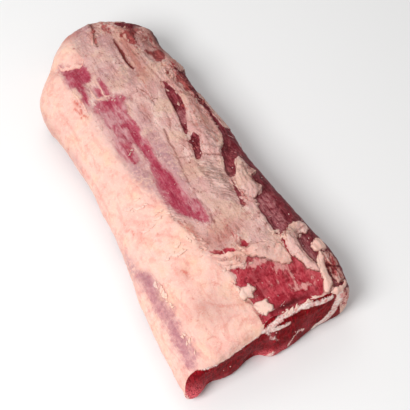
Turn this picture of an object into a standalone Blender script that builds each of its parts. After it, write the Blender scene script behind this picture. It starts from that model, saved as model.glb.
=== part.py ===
"""Beef rib roast: a whole raw rib joint, boned and untied, lying on its flat side.

Units are metres and +Z is up. The origin is on the surface that the meat lies on, in the
middle of the meat's outline. The broad cut end faces -Y and the narrow end +Y. The smooth
fat cap is on the -X side, and the lean trimmed side on +X.
"""
import math

import bmesh
import bpy
from mathutils import Vector, noise

# Driving dimensions of the whole joint
NEAR_Y = -0.2200
FAR_Y = 0.2300
NEAR_EDGE_RADIUS = 0.009
FAR_EDGE_RADIUS = 0.012
BELLY_LIFT = 0.05
ON_THE_FLOOR = 0.0005
CLEAR_OF_FLOOR = 0.012
MOUND_FOOT = 1.3
LOBE_FOOT = 1.2

# The joint's form from end to end, one row for each place along Y where it changes:
# y, left edge x, right edge x, height of the left edge, height of the right edge,
# then the height of the top over the left shoulder, along the middle and over the right shoulder
FORM = (
    (-0.2200, -0.105, 0.091, 0.026, 0.034, 0.058, 0.066, 0.062),
    (-0.2130, -0.107, 0.099, 0.027, 0.035, 0.061, 0.069, 0.064),
    (-0.2000, -0.107, 0.104, 0.028, 0.037, 0.063, 0.072, 0.067),
    (-0.1750, -0.106, 0.107, 0.029, 0.039, 0.067, 0.077, 0.072),
    (-0.1350, -0.102, 0.101, 0.030, 0.040, 0.071, 0.083, 0.078),
    (-0.0850, -0.095, 0.095, 0.030, 0.040, 0.072, 0.085, 0.080),
    (-0.0350, -0.087, 0.090, 0.030, 0.040, 0.071, 0.085, 0.079),
    (0.0250, -0.082, 0.091, 0.030, 0.040, 0.071, 0.083, 0.077),
    (0.0850, -0.082, 0.085, 0.031, 0.040, 0.072, 0.082, 0.076),
    (0.1200, -0.084, 0.088, 0.033, 0.040, 0.073, 0.082, 0.076),
    (0.1450, -0.087, 0.083, 0.035, 0.040, 0.073, 0.082, 0.074),
    (0.1650, -0.084, 0.080, 0.036, 0.040, 0.073, 0.081, 0.073),
    (0.1850, -0.069, 0.083, 0.036, 0.040, 0.072, 0.080, 0.073),
    (0.2020, -0.051, 0.076, 0.036, 0.038, 0.070, 0.078, 0.071),
    (0.2140, -0.040, 0.058, 0.036, 0.036, 0.068, 0.077, 0.069),
    (0.2240, -0.029, 0.040, 0.035, 0.035, 0.066, 0.074, 0.067),
    (0.2300, -0.017, 0.028, 0.035, 0.035, 0.064, 0.071, 0.065),
)

# Rounded folds that stand proud of the top, each along a path of (x, y) points:
# height, half width, then the path
RIDGES = {
    "bone side fat strip": (0.0030, 0.009, ((0.040, 0.191), (0.047, 0.113), (0.054, 0.081), (0.062, 0.065))),
    "wrinkled fat ridge": (0.0032, 0.013, ((0.060, 0.061), (0.055, 0.031), (0.051, 0.005), (0.049, -0.011))),
    "silver skin fold": (0.0030, 0.009, ((-0.023, -0.123), (-0.008, -0.128), (0.008, -0.136),
                                         (0.030, -0.145))),
    "leaf flap": (0.0035, 0.012, ((0.069, -0.031), (0.059, -0.049), (0.058, -0.067), (0.062, -0.081))),
    "curled slit folds": (0.0022, 0.009, ((0.045, -0.077), (0.049, -0.089))),
    "rolled flap arch": (0.0035, 0.010, ((0.061, -0.141), (0.070, -0.134), (0.081, -0.132), (0.087, -0.139))),
    "rolled flap band": (0.0038, 0.010, ((0.061, -0.143), (0.063, -0.158), (0.066, -0.175), (0.072, -0.193))),
    "corner fat band": (0.0038, 0.010, ((0.088, -0.160), (0.083, -0.179), (0.077, -0.195), (0.071, -0.213))),
    "cut end fat ledge": (0.0022, 0.009, ((-0.010, -0.212), (0.018, -0.209), (0.045, -0.211),
                                          (0.062, -0.215))),
}

# Creases and cuts sunk into the top: depth, half width, then the path
GROOVES = {
    "far lobe lip": (0.0042, 0.011, ((-0.049, 0.185), (-0.045, 0.175), (-0.036, 0.169), (-0.024, 0.168))),
    "lean valley": (0.0028, 0.017, ((-0.030, 0.155), (-0.024, 0.115), (-0.022, 0.075), (-0.018, 0.015),
                                    (-0.014, -0.035), (-0.008, -0.079))),
    "backbone groove": (0.0038, 0.009, ((0.026, 0.179), (0.024, 0.163), (0.023, 0.147), (0.024, 0.131))),
    "upper lean strip": (0.0035, 0.010, ((0.047, 0.101), (0.046, 0.083), (0.045, 0.063), (0.043, 0.039),
                                         (0.036, 0.027))),
    "lower lean strip": (0.0032, 0.010, ((0.039, 0.019), (0.036, 0.005), (0.032, -0.015))),
    "side lean strip": (0.0030, 0.010, ((0.072, -0.011), (0.064, -0.025), (0.055, -0.041), (0.048, -0.051))),
    "slit by the leaf": (0.0035, 0.009, ((0.048, -0.055), (0.045, -0.067), (0.042, -0.085))),
    "strip by the rolled flap": (0.0022, 0.009, ((0.055, -0.141), (0.054, -0.161), (0.055, -0.183))),
    "fat cap crease": (0.0020, 0.010, ((-0.050, -0.167), (-0.036, -0.179), (-0.016, -0.186))),
    "short fat crease": (0.0016, 0.009, ((-0.056, -0.201), (-0.059, -0.212))),
    "chip shadow": (0.0022, 0.009, ((-0.012, -0.187), (0.000, -0.185), (0.010, -0.191))),
}

# Soft mounds (+) and hollows (-) in the top: height, centre x and y, half sizes along x and y
MOUNDS = {
    "far fat lobe": (0.0050, -0.030, 0.195, 0.024, 0.026),
    "fat knob": (0.0050, 0.063, 0.117, 0.014, 0.019),
    "knob hollow": (-0.0040, 0.060, 0.142, 0.014, 0.013),
    "far right hollow": (-0.0028, 0.066, 0.173, 0.012, 0.022),
    "seam mound": (0.0040, 0.026, -0.147, 0.019, 0.017),
    "exposed eye": (-0.0050, 0.032, -0.183, 0.044, 0.034),
    "dusty lean patch": (-0.0028, 0.064, -0.109, 0.015, 0.030),
    "rolled flap hollow": (-0.0040, 0.077, -0.157, 0.012, 0.022),
    "upper fat chip": (0.0040, -0.007, -0.176, 0.011, 0.011),
    "lower fat chip": (0.0045, 0.001, -0.200, 0.011, 0.011),
    "corner fat lobe": (0.0050, 0.086, -0.213, 0.012, 0.012),
    "bruised streak": (-0.0020, -0.084, -0.151, 0.013, 0.060),
}

# Muscle lobes (+) and hollows (-) of the broad cut end: how far out, centre x and z, half sizes
END_LOBES = {
    "left corner": (0.0070, -0.098, 0.006, 0.020, 0.036),
    "corner notch": (-0.0060, -0.077, 0.000, 0.011, 0.024),
    "left muscle": (0.0015, -0.054, 0.006, 0.026, 0.034),
    "seam hollow": (-0.0075, -0.019, 0.002, 0.020, 0.034),
    "hanging nub": (0.0065, -0.004, 0.006, 0.012, 0.022),
    "eye muscle": (0.0060, 0.016, 0.004, 0.036, 0.050),
    "right corner": (0.0030, 0.086, 0.012, 0.034, 0.044),
}

# The uneven give of raw meat over the whole joint
UNEVEN_HEIGHT = 0.0016
UNEVEN_LENGTH = 0.045

# How square the slices are: 2 is an ellipse, and higher powers have fuller shoulders
FAT_SIDE_POWER = 2.7
LEAN_SIDE_POWER = 2.9
BELLY_POWER = 4.0
BELLY_EDGE_SHARE = 0.4

# How finely the skin of the solid is divided
SLICE_SAMPLES = 160
TOP_STEPS = 40
BELLY_STEPS = TOP_STEPS // 2
END_ROWS = 5
STATION_STEP = 0.0066
END_STATIONS = (0.0, 0.0014, 0.0038, 0.0072, 0.0118)


def smooth(t):
    """Ease from 0 to 1 as t goes from 0 to 1."""
    t = min(max(t, 0.0), 1.0)
    return t * t * (3.0 - 2.0 * t)


def hermite(rows, y):
    """Read every value of FORM at y along a smooth curve through the rows."""
    last = len(rows) - 1
    k = 0
    while k < last - 1 and y > rows[k + 1][0]:
        k += 1
    before = rows[max(k - 1, 0)]
    start = rows[k]
    end = rows[k + 1]
    after = rows[min(k + 2, last)]
    span = end[0] - start[0]
    t = min(max((y - start[0]) / span, 0.0), 1.0)
    values = []
    for column in range(1, len(start)):
        slope_in = (end[column] - before[column]) / (end[0] - before[0]) * span
        slope_out = (after[column] - start[column]) / (after[0] - start[0]) * span
        values.append(
            (2 * t**3 - 3 * t**2 + 1) * start[column]
            + (t**3 - 2 * t**2 + t) * slope_in
            + (3 * t**2 - 2 * t**3) * end[column]
            + (t**3 - t**2) * slope_out
        )
    return values


def even_points(points, steps):
    """Pick steps + 1 points, evenly spaced by length, along a polyline."""
    lengths = [0.0]
    for a, b in zip(points, points[1:]):
        lengths.append(lengths[-1] + (b - a).length)
    picked = []
    k = 0
    for i in range(steps + 1):
        want = lengths[-1] * i / steps
        while k < len(points) - 2 and lengths[k + 1] < want:
            k += 1
        share = (want - lengths[k]) / max(lengths[k + 1] - lengths[k], 1e-9)
        picked.append(points[k].lerp(points[k + 1], min(max(share, 0.0), 1.0)))
    return picked


def section(y):
    """One upright slice: its top points and its belly points, both from left to right."""
    left, right, left_z, right_z, shoulder_l, crown, shoulder_r = hermite(FORM, y)
    rounding = 0.0
    for distance, radius in ((y - NEAR_Y, NEAR_EDGE_RADIUS), (FAR_Y - y, FAR_EDGE_RADIUS)):
        reach = max(radius - distance, 0.0)
        rounding += radius - math.sqrt(max(radius * radius - reach * reach, 0.0))
    floor_z = BELLY_EDGE_SHARE * rounding
    top = []
    belly = []
    for i in range(SLICE_SAMPLES + 1):
        q = -math.cos(math.pi * i / SLICE_SAMPLES)
        share = (q + 1.0) / 2.0
        x = left + (right - left) * share
        middle_z = left_z + (right_z - left_z) * share
        roof = (
            shoulder_l * (1.0 - share) * (1.0 - 2.0 * share)
            + 4.0 * crown * share * (1.0 - share)
            + shoulder_r * share * (2.0 * share - 1.0)
        )
        power = FAT_SIDE_POWER + (LEAN_SIDE_POWER - FAT_SIDE_POWER) * share
        arch = (1.0 - abs(q) ** power) ** (1.0 / power)
        top.append(Vector((x, y, middle_z + (roof - rounding - middle_z) * arch)))
        bowl = (1.0 - abs(q) ** BELLY_POWER) ** (1.0 / BELLY_POWER) * (1.0 + BELLY_LIFT)
        belly.append(Vector((x, y, max(middle_z - (middle_z - floor_z) * bowl, floor_z))))
    return even_points(top, TOP_STEPS), even_points(belly, BELLY_STEPS)


def stations():
    """Places of the slices along Y, closer together at the two rounded end edges."""
    near = [NEAR_Y + d for d in END_STATIONS]
    far = [FAR_Y - d for d in reversed(END_STATIONS)]
    gap = far[0] - near[-1]
    count = round(gap / STATION_STEP)
    return near + [near[-1] + gap * i / count for i in range(1, count)] + far


def plain_body():
    """The joint's smooth body: slices bridged into a skin, with a gridded face at each end."""
    shell = bmesh.new()
    rings = []
    for y in stations():
        top, belly = section(y)
        upper = [shell.verts.new(p) for p in top]
        lower = [upper[0]] + [shell.verts.new(p) for p in belly[1:-1]] + [upper[-1]]
        rings.append((upper, lower))
    for (upper_a, lower_a), (upper_b, lower_b) in zip(rings, rings[1:]):
        for i in range(TOP_STEPS):
            shell.faces.new((upper_a[i], upper_a[i + 1], upper_b[i + 1], upper_b[i]))
        for i in range(BELLY_STEPS):
            shell.faces.new((lower_a[i + 1], lower_a[i], lower_b[i], lower_b[i + 1]))
    close_end(shell, *rings[0])
    close_end(shell, *rings[-1])
    bmesh.ops.recalc_face_normals(shell, faces=shell.faces)
    return shell


def close_end(shell, upper, lower):
    """Fill an end with rows that run from the top edge down to the belly's edge."""
    rows = [upper]
    for r in range(1, END_ROWS):
        drop = r / END_ROWS
        row = [upper[0]]
        for i in range(1, TOP_STEPS):
            j = i // 2
            foot = lower[j].co if i % 2 == 0 else (lower[j].co + lower[j + 1].co) / 2.0
            row.append(shell.verts.new(upper[i].co.lerp(foot, drop)))
        row.append(upper[-1])
        rows.append(row)
    for a, b in zip(rows, rows[1:]):
        for i in range(TOP_STEPS):
            corners = []
            for vert in (a[i], a[i + 1], b[i + 1], b[i]):
                if vert not in corners:
                    corners.append(vert)
            shell.faces.new(corners)
    last = rows[-1]
    for j in range(BELLY_STEPS):
        for corners in (
            (last[2 * j], last[2 * j + 1], lower[j]),
            (last[2 * j + 1], lower[j + 1], lower[j]),
            (last[2 * j + 1], last[2 * j + 2], lower[j + 1]),
        ):
            if len(set(corners)) == 3:
                shell.faces.new(corners)


def beef_material():
    """Raw meat with fat: a moist pink surface."""
    material = bpy.data.materials.new("raw_beef")
    material.use_nodes = True
    shader = material.node_tree.nodes["Principled BSDF"]
    shader.inputs["Base Color"].default_value = (0.72, 0.40, 0.36, 1.0)
    shader.inputs["Roughness"].default_value = 0.42
    shader.inputs["Metallic"].default_value = 0.0
    return material


def bump(distance, reach):
    """A rounded bump: 1 in the middle, easing to 0 at its reach."""
    return 0.5 + 0.5 * math.cos(math.pi * min(distance / reach, 1.0))


def distance_to_path(x, y, path):
    """How far a point is in plan from a path of straight pieces."""
    spot = Vector((x, y))
    nearest = math.inf
    for a, b in zip(path, path[1:]):
        start = Vector(a)
        way = Vector(b) - start
        share = min(max((spot - start).dot(way) / way.length_squared, 0.0), 1.0)
        nearest = min(nearest, (spot - start - way * share).length)
    return nearest


def relief(point, normal):
    """How far the skin stands out from the smooth body at a point of it."""
    x, y, z = point
    upward = smooth((normal.z + 0.05) / 0.5)
    amount = 0.0
    for height, half_width, path in RIDGES.values():
        amount += upward * height * bump(distance_to_path(x, y, path), half_width)
    for depth, half_width, path in GROOVES.values():
        amount -= upward * depth * bump(distance_to_path(x, y, path), half_width)
    for height, middle_x, middle_y, half_x, half_y in MOUNDS.values():
        away = math.hypot((x - middle_x) / half_x, (y - middle_y) / half_y)
        amount += upward * height * bump(away, MOUND_FOOT)
    outward = smooth((-normal.y - 0.1) / 0.5)
    for height, middle_x, middle_z, half_x, half_z in END_LOBES.values():
        away = math.hypot((x - middle_x) / half_x, (z - middle_z) / half_z)
        amount += outward * height * bump(away, LOBE_FOOT)
    amount += smooth(z / CLEAR_OF_FLOOR) * UNEVEN_HEIGHT * noise.noise(point / UNEVEN_LENGTH)
    return amount


def centre_outline(shell):
    """Take off the last millimetre or two between the outline's middle and the origin."""
    for axis in (0, 1):
        places = [vert.co[axis] for vert in shell.verts]
        middle = (min(places) + max(places)) / 2.0
        for vert in shell.verts:
            vert.co[axis] -= middle


def rib_roast():
    """The one solid: the smooth body with its folds, flaps and cut hollows raised or sunk."""
    shell = plain_body()
    bmesh.ops.triangulate(shell, faces=shell.faces)
    shell.normal_update()
    moves = [(vert, vert.normal.copy(), relief(vert.co, vert.normal)) for vert in shell.verts]
    for vert, normal, amount in moves:
        if vert.co.z < ON_THE_FLOOR:
            normal.z = 0.0
        vert.co += normal * amount
        vert.co.z = max(vert.co.z, 0.0)
    centre_outline(shell)
    mesh = bpy.data.meshes.new("rib_roast")
    shell.to_mesh(mesh)
    shell.free()
    mesh.shade_smooth()
    mesh.materials.append(beef_material())
    roast = bpy.data.objects.new("rib_roast", mesh)
    bpy.context.scene.collection.objects.link(roast)
    return roast


for old in list(bpy.data.objects):
    bpy.data.objects.remove(old, do_unlink=True)

rib_roast()
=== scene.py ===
"""The looks of a whole raw beef rib joint: fat cap, silver skin, torn flaps and exposed lean.

Places on the meat are given in millimetres as (x, y) seen from above, or (x, z) on the cut end.
"""
import math

import bmesh
import bpy
import numpy as np
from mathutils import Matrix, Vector, bvhtree, geometry, noise


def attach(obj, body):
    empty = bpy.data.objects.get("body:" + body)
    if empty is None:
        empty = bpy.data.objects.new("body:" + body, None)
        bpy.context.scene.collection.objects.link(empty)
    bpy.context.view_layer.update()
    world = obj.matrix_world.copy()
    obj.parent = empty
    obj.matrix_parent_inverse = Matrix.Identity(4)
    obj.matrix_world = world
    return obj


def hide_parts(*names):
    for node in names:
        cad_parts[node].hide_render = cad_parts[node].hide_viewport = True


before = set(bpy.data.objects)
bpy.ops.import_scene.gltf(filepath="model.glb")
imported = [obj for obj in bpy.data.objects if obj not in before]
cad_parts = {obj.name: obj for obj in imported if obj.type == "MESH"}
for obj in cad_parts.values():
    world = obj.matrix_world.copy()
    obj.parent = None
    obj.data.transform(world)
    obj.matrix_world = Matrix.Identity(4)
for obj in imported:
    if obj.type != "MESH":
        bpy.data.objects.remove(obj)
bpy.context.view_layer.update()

# The joint itself
# A whole rib joint, boned out and left untied. Its left side is covered by the outer fat cap, its
# top by silver skin that was cut from the ribs, and lean shows where the knife has opened it.
MM = 0.001
SKIN_LEVELS = 2
CUT_END_Y = -205.0
FAR_END_Y = 200.0
# The trimmed right flank: where it starts, its half length, and the height of its lean
FLANK_X = 50.0
FLANK_HALF_LENGTH = 216.0
FLANK_LEAN_TOP = 52.0
# Lean on the far end's face: its top, its left edge, and how sharply it stops at the face's rim
FAR_LEAN_TOP = 54.0
FAR_LEAN_LEFT = -26.0
FACE_EDGE = 20.0
WRINKLE_TURN = -42.0
# Marks that a mesh carries: depth inside an outlined layer, and distance from a torn rim
FAR_FROM_ANY = -20.0
FAR_FROM_RIM = 9.0
# Depth of fat marked on the cut end, which its lean and seams then cover
CUT_FAT_DEPTH = 8.0
# Levels of broad noise between which folds fade in
PATCHY_LEVELS = (-0.35 / 2.2, 0.65 / 2.2)

FAT_CAP = (
    (-130, -219), (-60, -219), (-30, -218), (-12, -216), (-9, -208), (-9, -200), (-8, -190), (-13, -183),
    (-14, -172), (-11, -162), (-13, -150), (-17, -140), (-20, -130), (-24, -120), (-25, -110),
    (-23, -100), (-26, -88), (-30, -76), (-32, -63), (-30, -52), (-30, -42), (-33, -28), (-38, -14),
    (-42, -2), (-43, 20), (-47, 42), (-49, 70), (-50, 90), (-50, 108), (-52, 122), (-50, 135),
    (-51, 146), (-50, 158), (-48, 172), (-45, 184), (-42, 175), (-36, 170), (-29, 168), (-23, 166),
    (-19, 172), (-20, 190), (-18, 206), (-20, 240), (-130, 240),
)
ROSE_LEAN = {
    "far wedge": (
        (-45, 183), (-41, 174), (-36, 169), (-29, 167), (-24, 165), (-21, 159), (-21, 151), (-22, 145),
        (-26, 139), (-31, 139), (-35, 141), (-36, 133), (-38, 122), (-41, 110), (-44, 106), (-45, 116),
        (-43, 128), (-44, 140), (-49, 145), (-49, 156), (-47, 169),
    ),
    "first window": ((-29, 122), (-25, 128), (-21, 123), (-21, 115), (-25, 113), (-29, 116)),
    "second window": ((-19, 131), (-16, 138), (-14, 130), (-14, 120), (-16, 112), (-19, 111), (-19, 118)),
    "long valley": (
        (-38, 106), (-30, 110), (-22, 108), (-14, 106), (-9, 104), (-4, 100), (-3, 95), (-8, 89),
        (-9, 80), (-10, 70), (-8, 60), (-8, 50), (-11, 42), (-8, 30), (-8, 22), (-11, 14), (-10, 4),
        (-9, -6), (-6, -18), (-6, -32), (-5, -46), (-4, -55), (1, -58), (2, -70), (1, -80), (-1, -89),
        (-6, -89), (-12, -82), (-19, -74), (-25, -64), (-28, -52), (-29, -40), (-28, -28), (-26, -16),
        (-25, -6), (-22, 4), (-20, 14), (-21, 26), (-23, 38), (-26, 28), (-28, 16), (-35, 13), (-39, 22),
        (-42, 36), (-41, 48), (-36, 60), (-38, 75), (-37, 90), (-41, 98),
    ),
}
CRIMSON_LEAN = {
    "opened eye": (
        (-11, -149), (-4, -151), (5, -154), (11, -147), (17, -146), (22, -151), (30, -156), (38, -161),
        (46, -166), (53, -165), (60, -166), (65, -177), (70, -187), (73, -198), (71, -206), (67, -213),
        (50, -216), (30, -217), (10, -218), (-8, -218), (-10, -209), (-8, -200), (-8, -187), (-12, -178),
        (-11, -170), (-14, -165), (-9, -158),
    ),
    "knife nick one": ((-20, -122), (-13, -124), (-8, -129), (-10, -133), (-15, -130)),
    "knife nick two": ((-6, -127), (0, -128), (5, -134), (-1, -135), (-6, -133)),
    "knife nick three": ((13, -131), (17, -127), (20, -131), (19, -137), (15, -136)),
    "thin strip": (
        (56, -137), (58, -148), (57, -160), (59, -172), (64, -184), (68, -192), (62, -188), (56, -176),
        (54, -164), (54, -150),
    ),
}
DARK_LEAN = {
    "upper strip": (
        (47, 99), (49, 93), (52, 86), (53, 75), (53, 65), (51, 55), (48, 47), (44, 40), (41, 32),
        (38, 26), (34, 19), (32, 21), (34, 30), (36, 40), (38, 50), (39, 60), (41, 72), (43, 86),
        (46, 92),
    ),
    "lower strip": (
        (41, 18), (43, 14), (43, 9), (41, 3), (38, -3), (36, -10), (33, -14), (30, -17), (26, -16),
        (26, -13), (28, -7), (30, -1), (31, 4), (30, 8), (34, 11), (36, 15),
    ),
    "trimmed side": (
        (80, 14), (72, 12), (70, 3), (66, -6), (59, -12), (55, -20), (51, -32), (46, -44), (46, -51),
        (51, -54), (57, -49), (61, -38), (66, -33), (70, -40), (70, -60), (66, -74), (62, -84),
        (56, -88), (54, -100), (53, -115), (53, -128), (54, -138), (70, -140), (72, -150), (70, -170),
        (74, -186), (78, -214), (130, -214), (130, 0),
    ),
    "brown edge streak": (
        (74, 80), (79, 66), (80, 52), (76, 38), (78, 26), (77, 10), (71, 10), (71, 24), (73, 40),
        (70, 54), (72, 68),
    ),
    "slit by the leaf": (
        (47, -56), (47, -64), (46, -72), (45, -79), (43, -86), (44, -91), (38, -93), (40, -86),
        (41, -78), (43, -70), (45, -62),
    ),
    "backbone groove": (
        (25, 182), (27, 170), (27, 158), (25, 146), (27, 131), (24, 131), (22, 146), (24, 160),
    ),
    "far side": (
        (60, 212), (48, 206), (38, 207), (40, 200), (45, 191), (54, 187), (62, 189), (72, 191),
        (79, 182), (79, 165), (81, 152), (90, 148), (130, 156), (130, 215), (80, 215),
    ),
    # Painted shadow: dark lean laid beside the knob where its shadow falls
    "knob shadow": ((70, 112), (80, 114), (130, 118), (130, 84), (80, 76), (74, 70), (72, 84), (72, 98)),
}
BONE_RED = {
    "deep patch": (
        (50, 152), (60, 150), (72, 150), (73, 140), (66, 130), (60, 123), (55, 129), (56, 140),
    ),
    "marrow one": (
        (38, 168), (39, 180), (46, 185), (58, 189), (65, 185), (56, 181), (50, 174), (47, 165),
        (42, 163),
    ),
    "marrow three": ((54, 106), (57, 111), (60, 107), (57, 103)),
    "side streak": ((61, 93), (65, 102), (72, 106), (76, 98), (74, 86), (70, 76), (66, 80), (66, 90)),
    "far marks": ((34, 181), (42, 184), (48, 186), (46, 181), (40, 177)),
}
BRUISE = (
    (-90, -98), (-86, -96), (-81, -102), (-80, -116), (-82, -130), (-80, -146), (-82, -160), (-84, -176),
    (-82, -190), (-84, -206), (-91, -214), (-94, -200), (-93, -180), (-91, -160), (-93, -140),
    (-91, -120),
)
DUSTY_LEAN = {
    "below the leaf": (
        (58, -88), (66, -86), (75, -84), (77, -92), (77, -105), (75, -115), (75, -125), (69, -133),
        (62, -138), (56, -138), (54, -125), (55, -110), (54, -98),
    ),
    "inside the roll": (
        (70, -146), (80, -145), (85, -152), (82, -160), (80, -170), (77, -184), (73, -178), (69, -160),
    ),
    "above the ridge": ((37, 52), (45, 56), (51, 50), (46, 38), (41, 30), (36, 34)),
}
# Where thin film still veils the rose lean: strength, centre x and y, half sizes
VEIL = (
    (1.1, -40, 82, 9, 22), (0.72, -26, 78, 11, 16), (0.35, -14, 60, 8, 20), (0.3, -46, 160, 5, 24),
    (0.8, -40, 52, 7, 16), (0.7, -32, 26, 8, 16), (0.7, -23, 46, 3, 12), (0.7, -24, 6, 5, 20),
    (0.5, -5, -40, 4, 20), (0.7, -8, 0, 4, 24), (0.5, -8, -74, 6, 14), (1.0, -30, 128, 5, 12),
    (0.5, -28, -34, 4, 16), (0.4, -14, 88, 8, 10), (0.5, -2, -66, 4, 16),
)
# Brighter, pinker stretches of the cut end: strength, centre x and z, half sizes
BRIGHT_END = (
    (1.3, -108, 10, 17, 22), (0.5, -92, 12, 12, 20), (0.5, 10, 10, 14, 10), (0.4, -4, 48, 5, 16),
    (0.35, -62, 8, 10, 10), (1.1, -8, 4, 9, 14), (0.25, 40, 30, 8, 12),
)

# Soft casts of colour: strength, centre x and y, half sizes along x and y
VIOLET_CAST = (
    (0.9, 4, 216, 12, 14), (0.5, -10, 200, 10, 18), (0.65, 12, 178, 9, 26), (0.45, 58, 163, 6, 10),
    (0.3, -41, 88, 6, 30), (0.4, -42, 44, 8, 24), (1.0, -34, 12, 10, 22), (0.8, -34, -18, 8, 20),
    (1.1, -2, 8, 9, 32), (0.7, -3, -34, 7, 22), (0.3, 8, -70, 14, 26), (0.5, 2, 60, 8, 26),
    (0.5, -90, -85, 5, 16), (0.45, -82, 72, 4, 20), (0.4, 66, -108, 11, 26), (0.35, 45, 50, 6, 12),
    (0.4, 36, 4, 4, 6), (0.6, -9, 136, 12, 24), (0.8, -84, -110, 5, 12), (0.5, -90, -70, 4, 30),
    (0.5, 14, 120, 8, 16),
)
WARM_CAST = (
    (0.75, 33, 155, 7, 34), (0.4, 44, 176, 10, 20), (0.5, 32, 118, 8, 24), (0.7, -22, -92, 5, 16),
    (0.6, -10, -114, 16, 14), (0.2, 22, -62, 8, 8), (0.5, 68, 62, 10, 26), (0.5, 66, 20, 8, 22),
    (0.7, -16, 216, 12, 8), (0.4, -52, -128, 6, 12), (0.7, 78, 124, 10, 12), (0.6, 4, -142, 16, 9),
    (0.9, 90, -190, 12, 20), (0.6, 12, -110, 20, 14), (0.5, 60, 96, 7, 16), (0.2, 52, -68, 7, 20),
    (0.8, 61, 168, 8, 16), (0.8, 72, 166, 5, 30), (0.7, 50, 190, 10, 8), (1.0, 72, -60, 4, 7),
    (0.7, 67, -67, 3, 5), (0.8, 4, 196, 3, 9), (0.5, 8, 68, 4, 14), (0.4, 46, 66, 8, 40),
    (0.4, 12, -14, 5, 30),
)
# Painted shade and highlights, with tone. A positive strength darkens: painted shade, chiefly on the right
# flank that faces away from the key light and in soft hollows of the fat, along with darker tone of the
# lean. A negative strength lightens: painted highlights and glints on the fat and skin, along with paler
# tone.
PAINTED_LIGHT_AND_TONE = (
    (0.6, 86, 176, 12, 44), (0.4, 92, 96, 10, 40), (0.2, 98, 30, 10, 60), (0.1, 98, -60, 10, 60),
    (0.2, 98, -118, 10, 34), (0.4, -20, 228, 40, 6), (0.4, 30, 228, 60, 7), (0.5, 24, -207, 28, 5),
    (-0.5, -28, -103, 8, 12), (-0.45, -60, -100, 10, 5), (-0.4, -50, -26, 14, 7),
    (-0.4, -44, -60, 12, 7), (-0.35, 36, -146, 20, 9), (-0.3, -30, 196, 16, 20), (-0.4, 60, 190, 14, 8),
    (0.35, 24, 154, 5, 30), (0.3, 44, -132, 10, 8), (0.25, -88, 120, 6, 60), (0.6, 50, 196, 10, 10),
    (0.5, 76, 84, 5, 18), (0.8, 26, -207, 22, 3.5), (0.5, 4, -184, 6, 5), (0.4, 12, -166, 9, 6),
    (0.3, 56, -160, 4, 14), (0.3, 8, 184, 5, 8), (0.35, 13, 216, 4, 12), (0.9, 78, 172, 6, 28),
    (-0.35, -46, 66, 5, 30), (-0.3, -44, 20, 5, 16), (0.26, -50, -172, 26, 20), (-0.15, 24, -61, 12, 14),
    (0.25, -86, -106, 4, 8), (0.2, -84, -132, 3, 8), (0.5, 59, 167, 5, 11), (0.3, 66, 158, 3, 14),
    (0.6, 86, 106, 4, 20), (0.3, 70, 124, 6, 4), (0.3, 74, 118, 8, 3), (-0.35, -22, -120, 8, 8),
    (-0.35, -16, -150, 5, 14), (-0.3, 64, -165, 5, 20), (-0.25, 76, -196, 5, 18),
    (-0.35, 36, -42, 10, 20), (-0.2, 24, -60, 8, 12),
)
# Where blood and torn lean stain the surface: strength, centre x and y, half sizes
STAIN = (
    (0.3, 60, 190, 14, 8), (0.7, 43, 174, 6, 13), (0.5, 54, 186, 10, 4), (0.4, 47, 160, 4, 10),
    (0.75, 63, 139, 8, 13), (0.5, 68, 108, 8, 10), (0.8, 72, 96, 8, 14), (0.5, 24, 206, 14, 10),
    (0.6, 74, 64, 5, 26), (0.55, -10, -128, 12, 6), (0.35, -8, -144, 10, 6), (0.4, 12, -142, 8, 6),
    (0.15, 18, -64, 8, 10), (0.4, -16, -96, 8, 16), (0.6, 90, -194, 12, 18), (0.6, 52, -142, 5, 8),
    (0.4, -12, -160, 3, 12), (0.6, -10, -198, 4, 14), (0.5, 45, -88, 6, 10), (0.6, -31, 34, 7, 9),
    (0.5, 32, -6, 12, 24), (0.4, 58, 52, 6, 14), (0.45, 8, 194, 7, 16), (0.5, -46, 112, 4, 20),
    (0.5, 72, -68, 4, 10), (0.2, 6, -100, 20, 20), (0.45, -22, -112, 6, 8), (0.5, 14, -112, 4, 20),
    (0.6, 36, 216, 14, 8), (0.5, 82, -182, 4, 14), (0.5, 98, -186, 6, 20), (0.9, -22, 190, 2, 3),
    (0.9, -12, 189, 2, 2), (0.8, -6, 197, 2, 2), (0.8, -14, 178, 2, 2), (0.7, -27, 200, 2, 2),
    (0.6, 54, 84, 3, 14), (0.5, 12, 88, 5, 6),
)
# Where fat, sinew and torn lean lie mixed in scraps: strength, centre x and y, half sizes
SCRAPPY = (
    (0.8, 54, 184, 14, 6), (0.7, 66, 164, 8, 18), (0.9, 46, 168, 6, 16), (0.6, 70, 116, 14, 14),
    (1.0, 70, 92, 10, 18), (0.7, 73, 62, 8, 20), (0.7, 77, 36, 7, 20), (0.7, 28, 202, 12, 14),
    (0.5, 12, 206, 5, 14), (1.0, 92, -190, 12, 24), (0.8, 86, -160, 8, 8), (0.7, 46, -80, 5, 14),
    (0.8, 72, -58, 6, 18), (0.4, -8, -126, 12, 4), (0.7, 14, -122, 6, 16), (0.35, -8, -146, 10, 4),
    (0.4, 8, -151, 8, 3), (0.5, 36, -148, 14, 4), (0.3, -4, 128, 7, 12), (0.3, -2, -108, 14, 14),
    (0.5, 66, -138, 10, 4),
)
SCRAPPY_END = ((1.0, 92, 44, 12, 24), (0.6, 70, 16, 8, 8))
# Torn pale film on the opened eye of the rib: strength, centre x and y, half sizes
FILM = (
    (1.0, 37, -167, 7, 7), (1.0, 50, -197, 10, 4), (0.9, 14, -156, 12, 4), (0.7, 20, -176, 2, 10),
    (0.5, 29, -184, 2, 8), (0.6, 47, -163, 8, 4), (0.4, 62, -188, 5, 14), (0.4, -4, -186, 6, 4),
    (0.5, 36, -190, 3, 6), (0.5, 44, -184, 3, 9), (0.7, 27, -158, 10, 3), (0.6, 46, -172, 8, 3),
)
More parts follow.
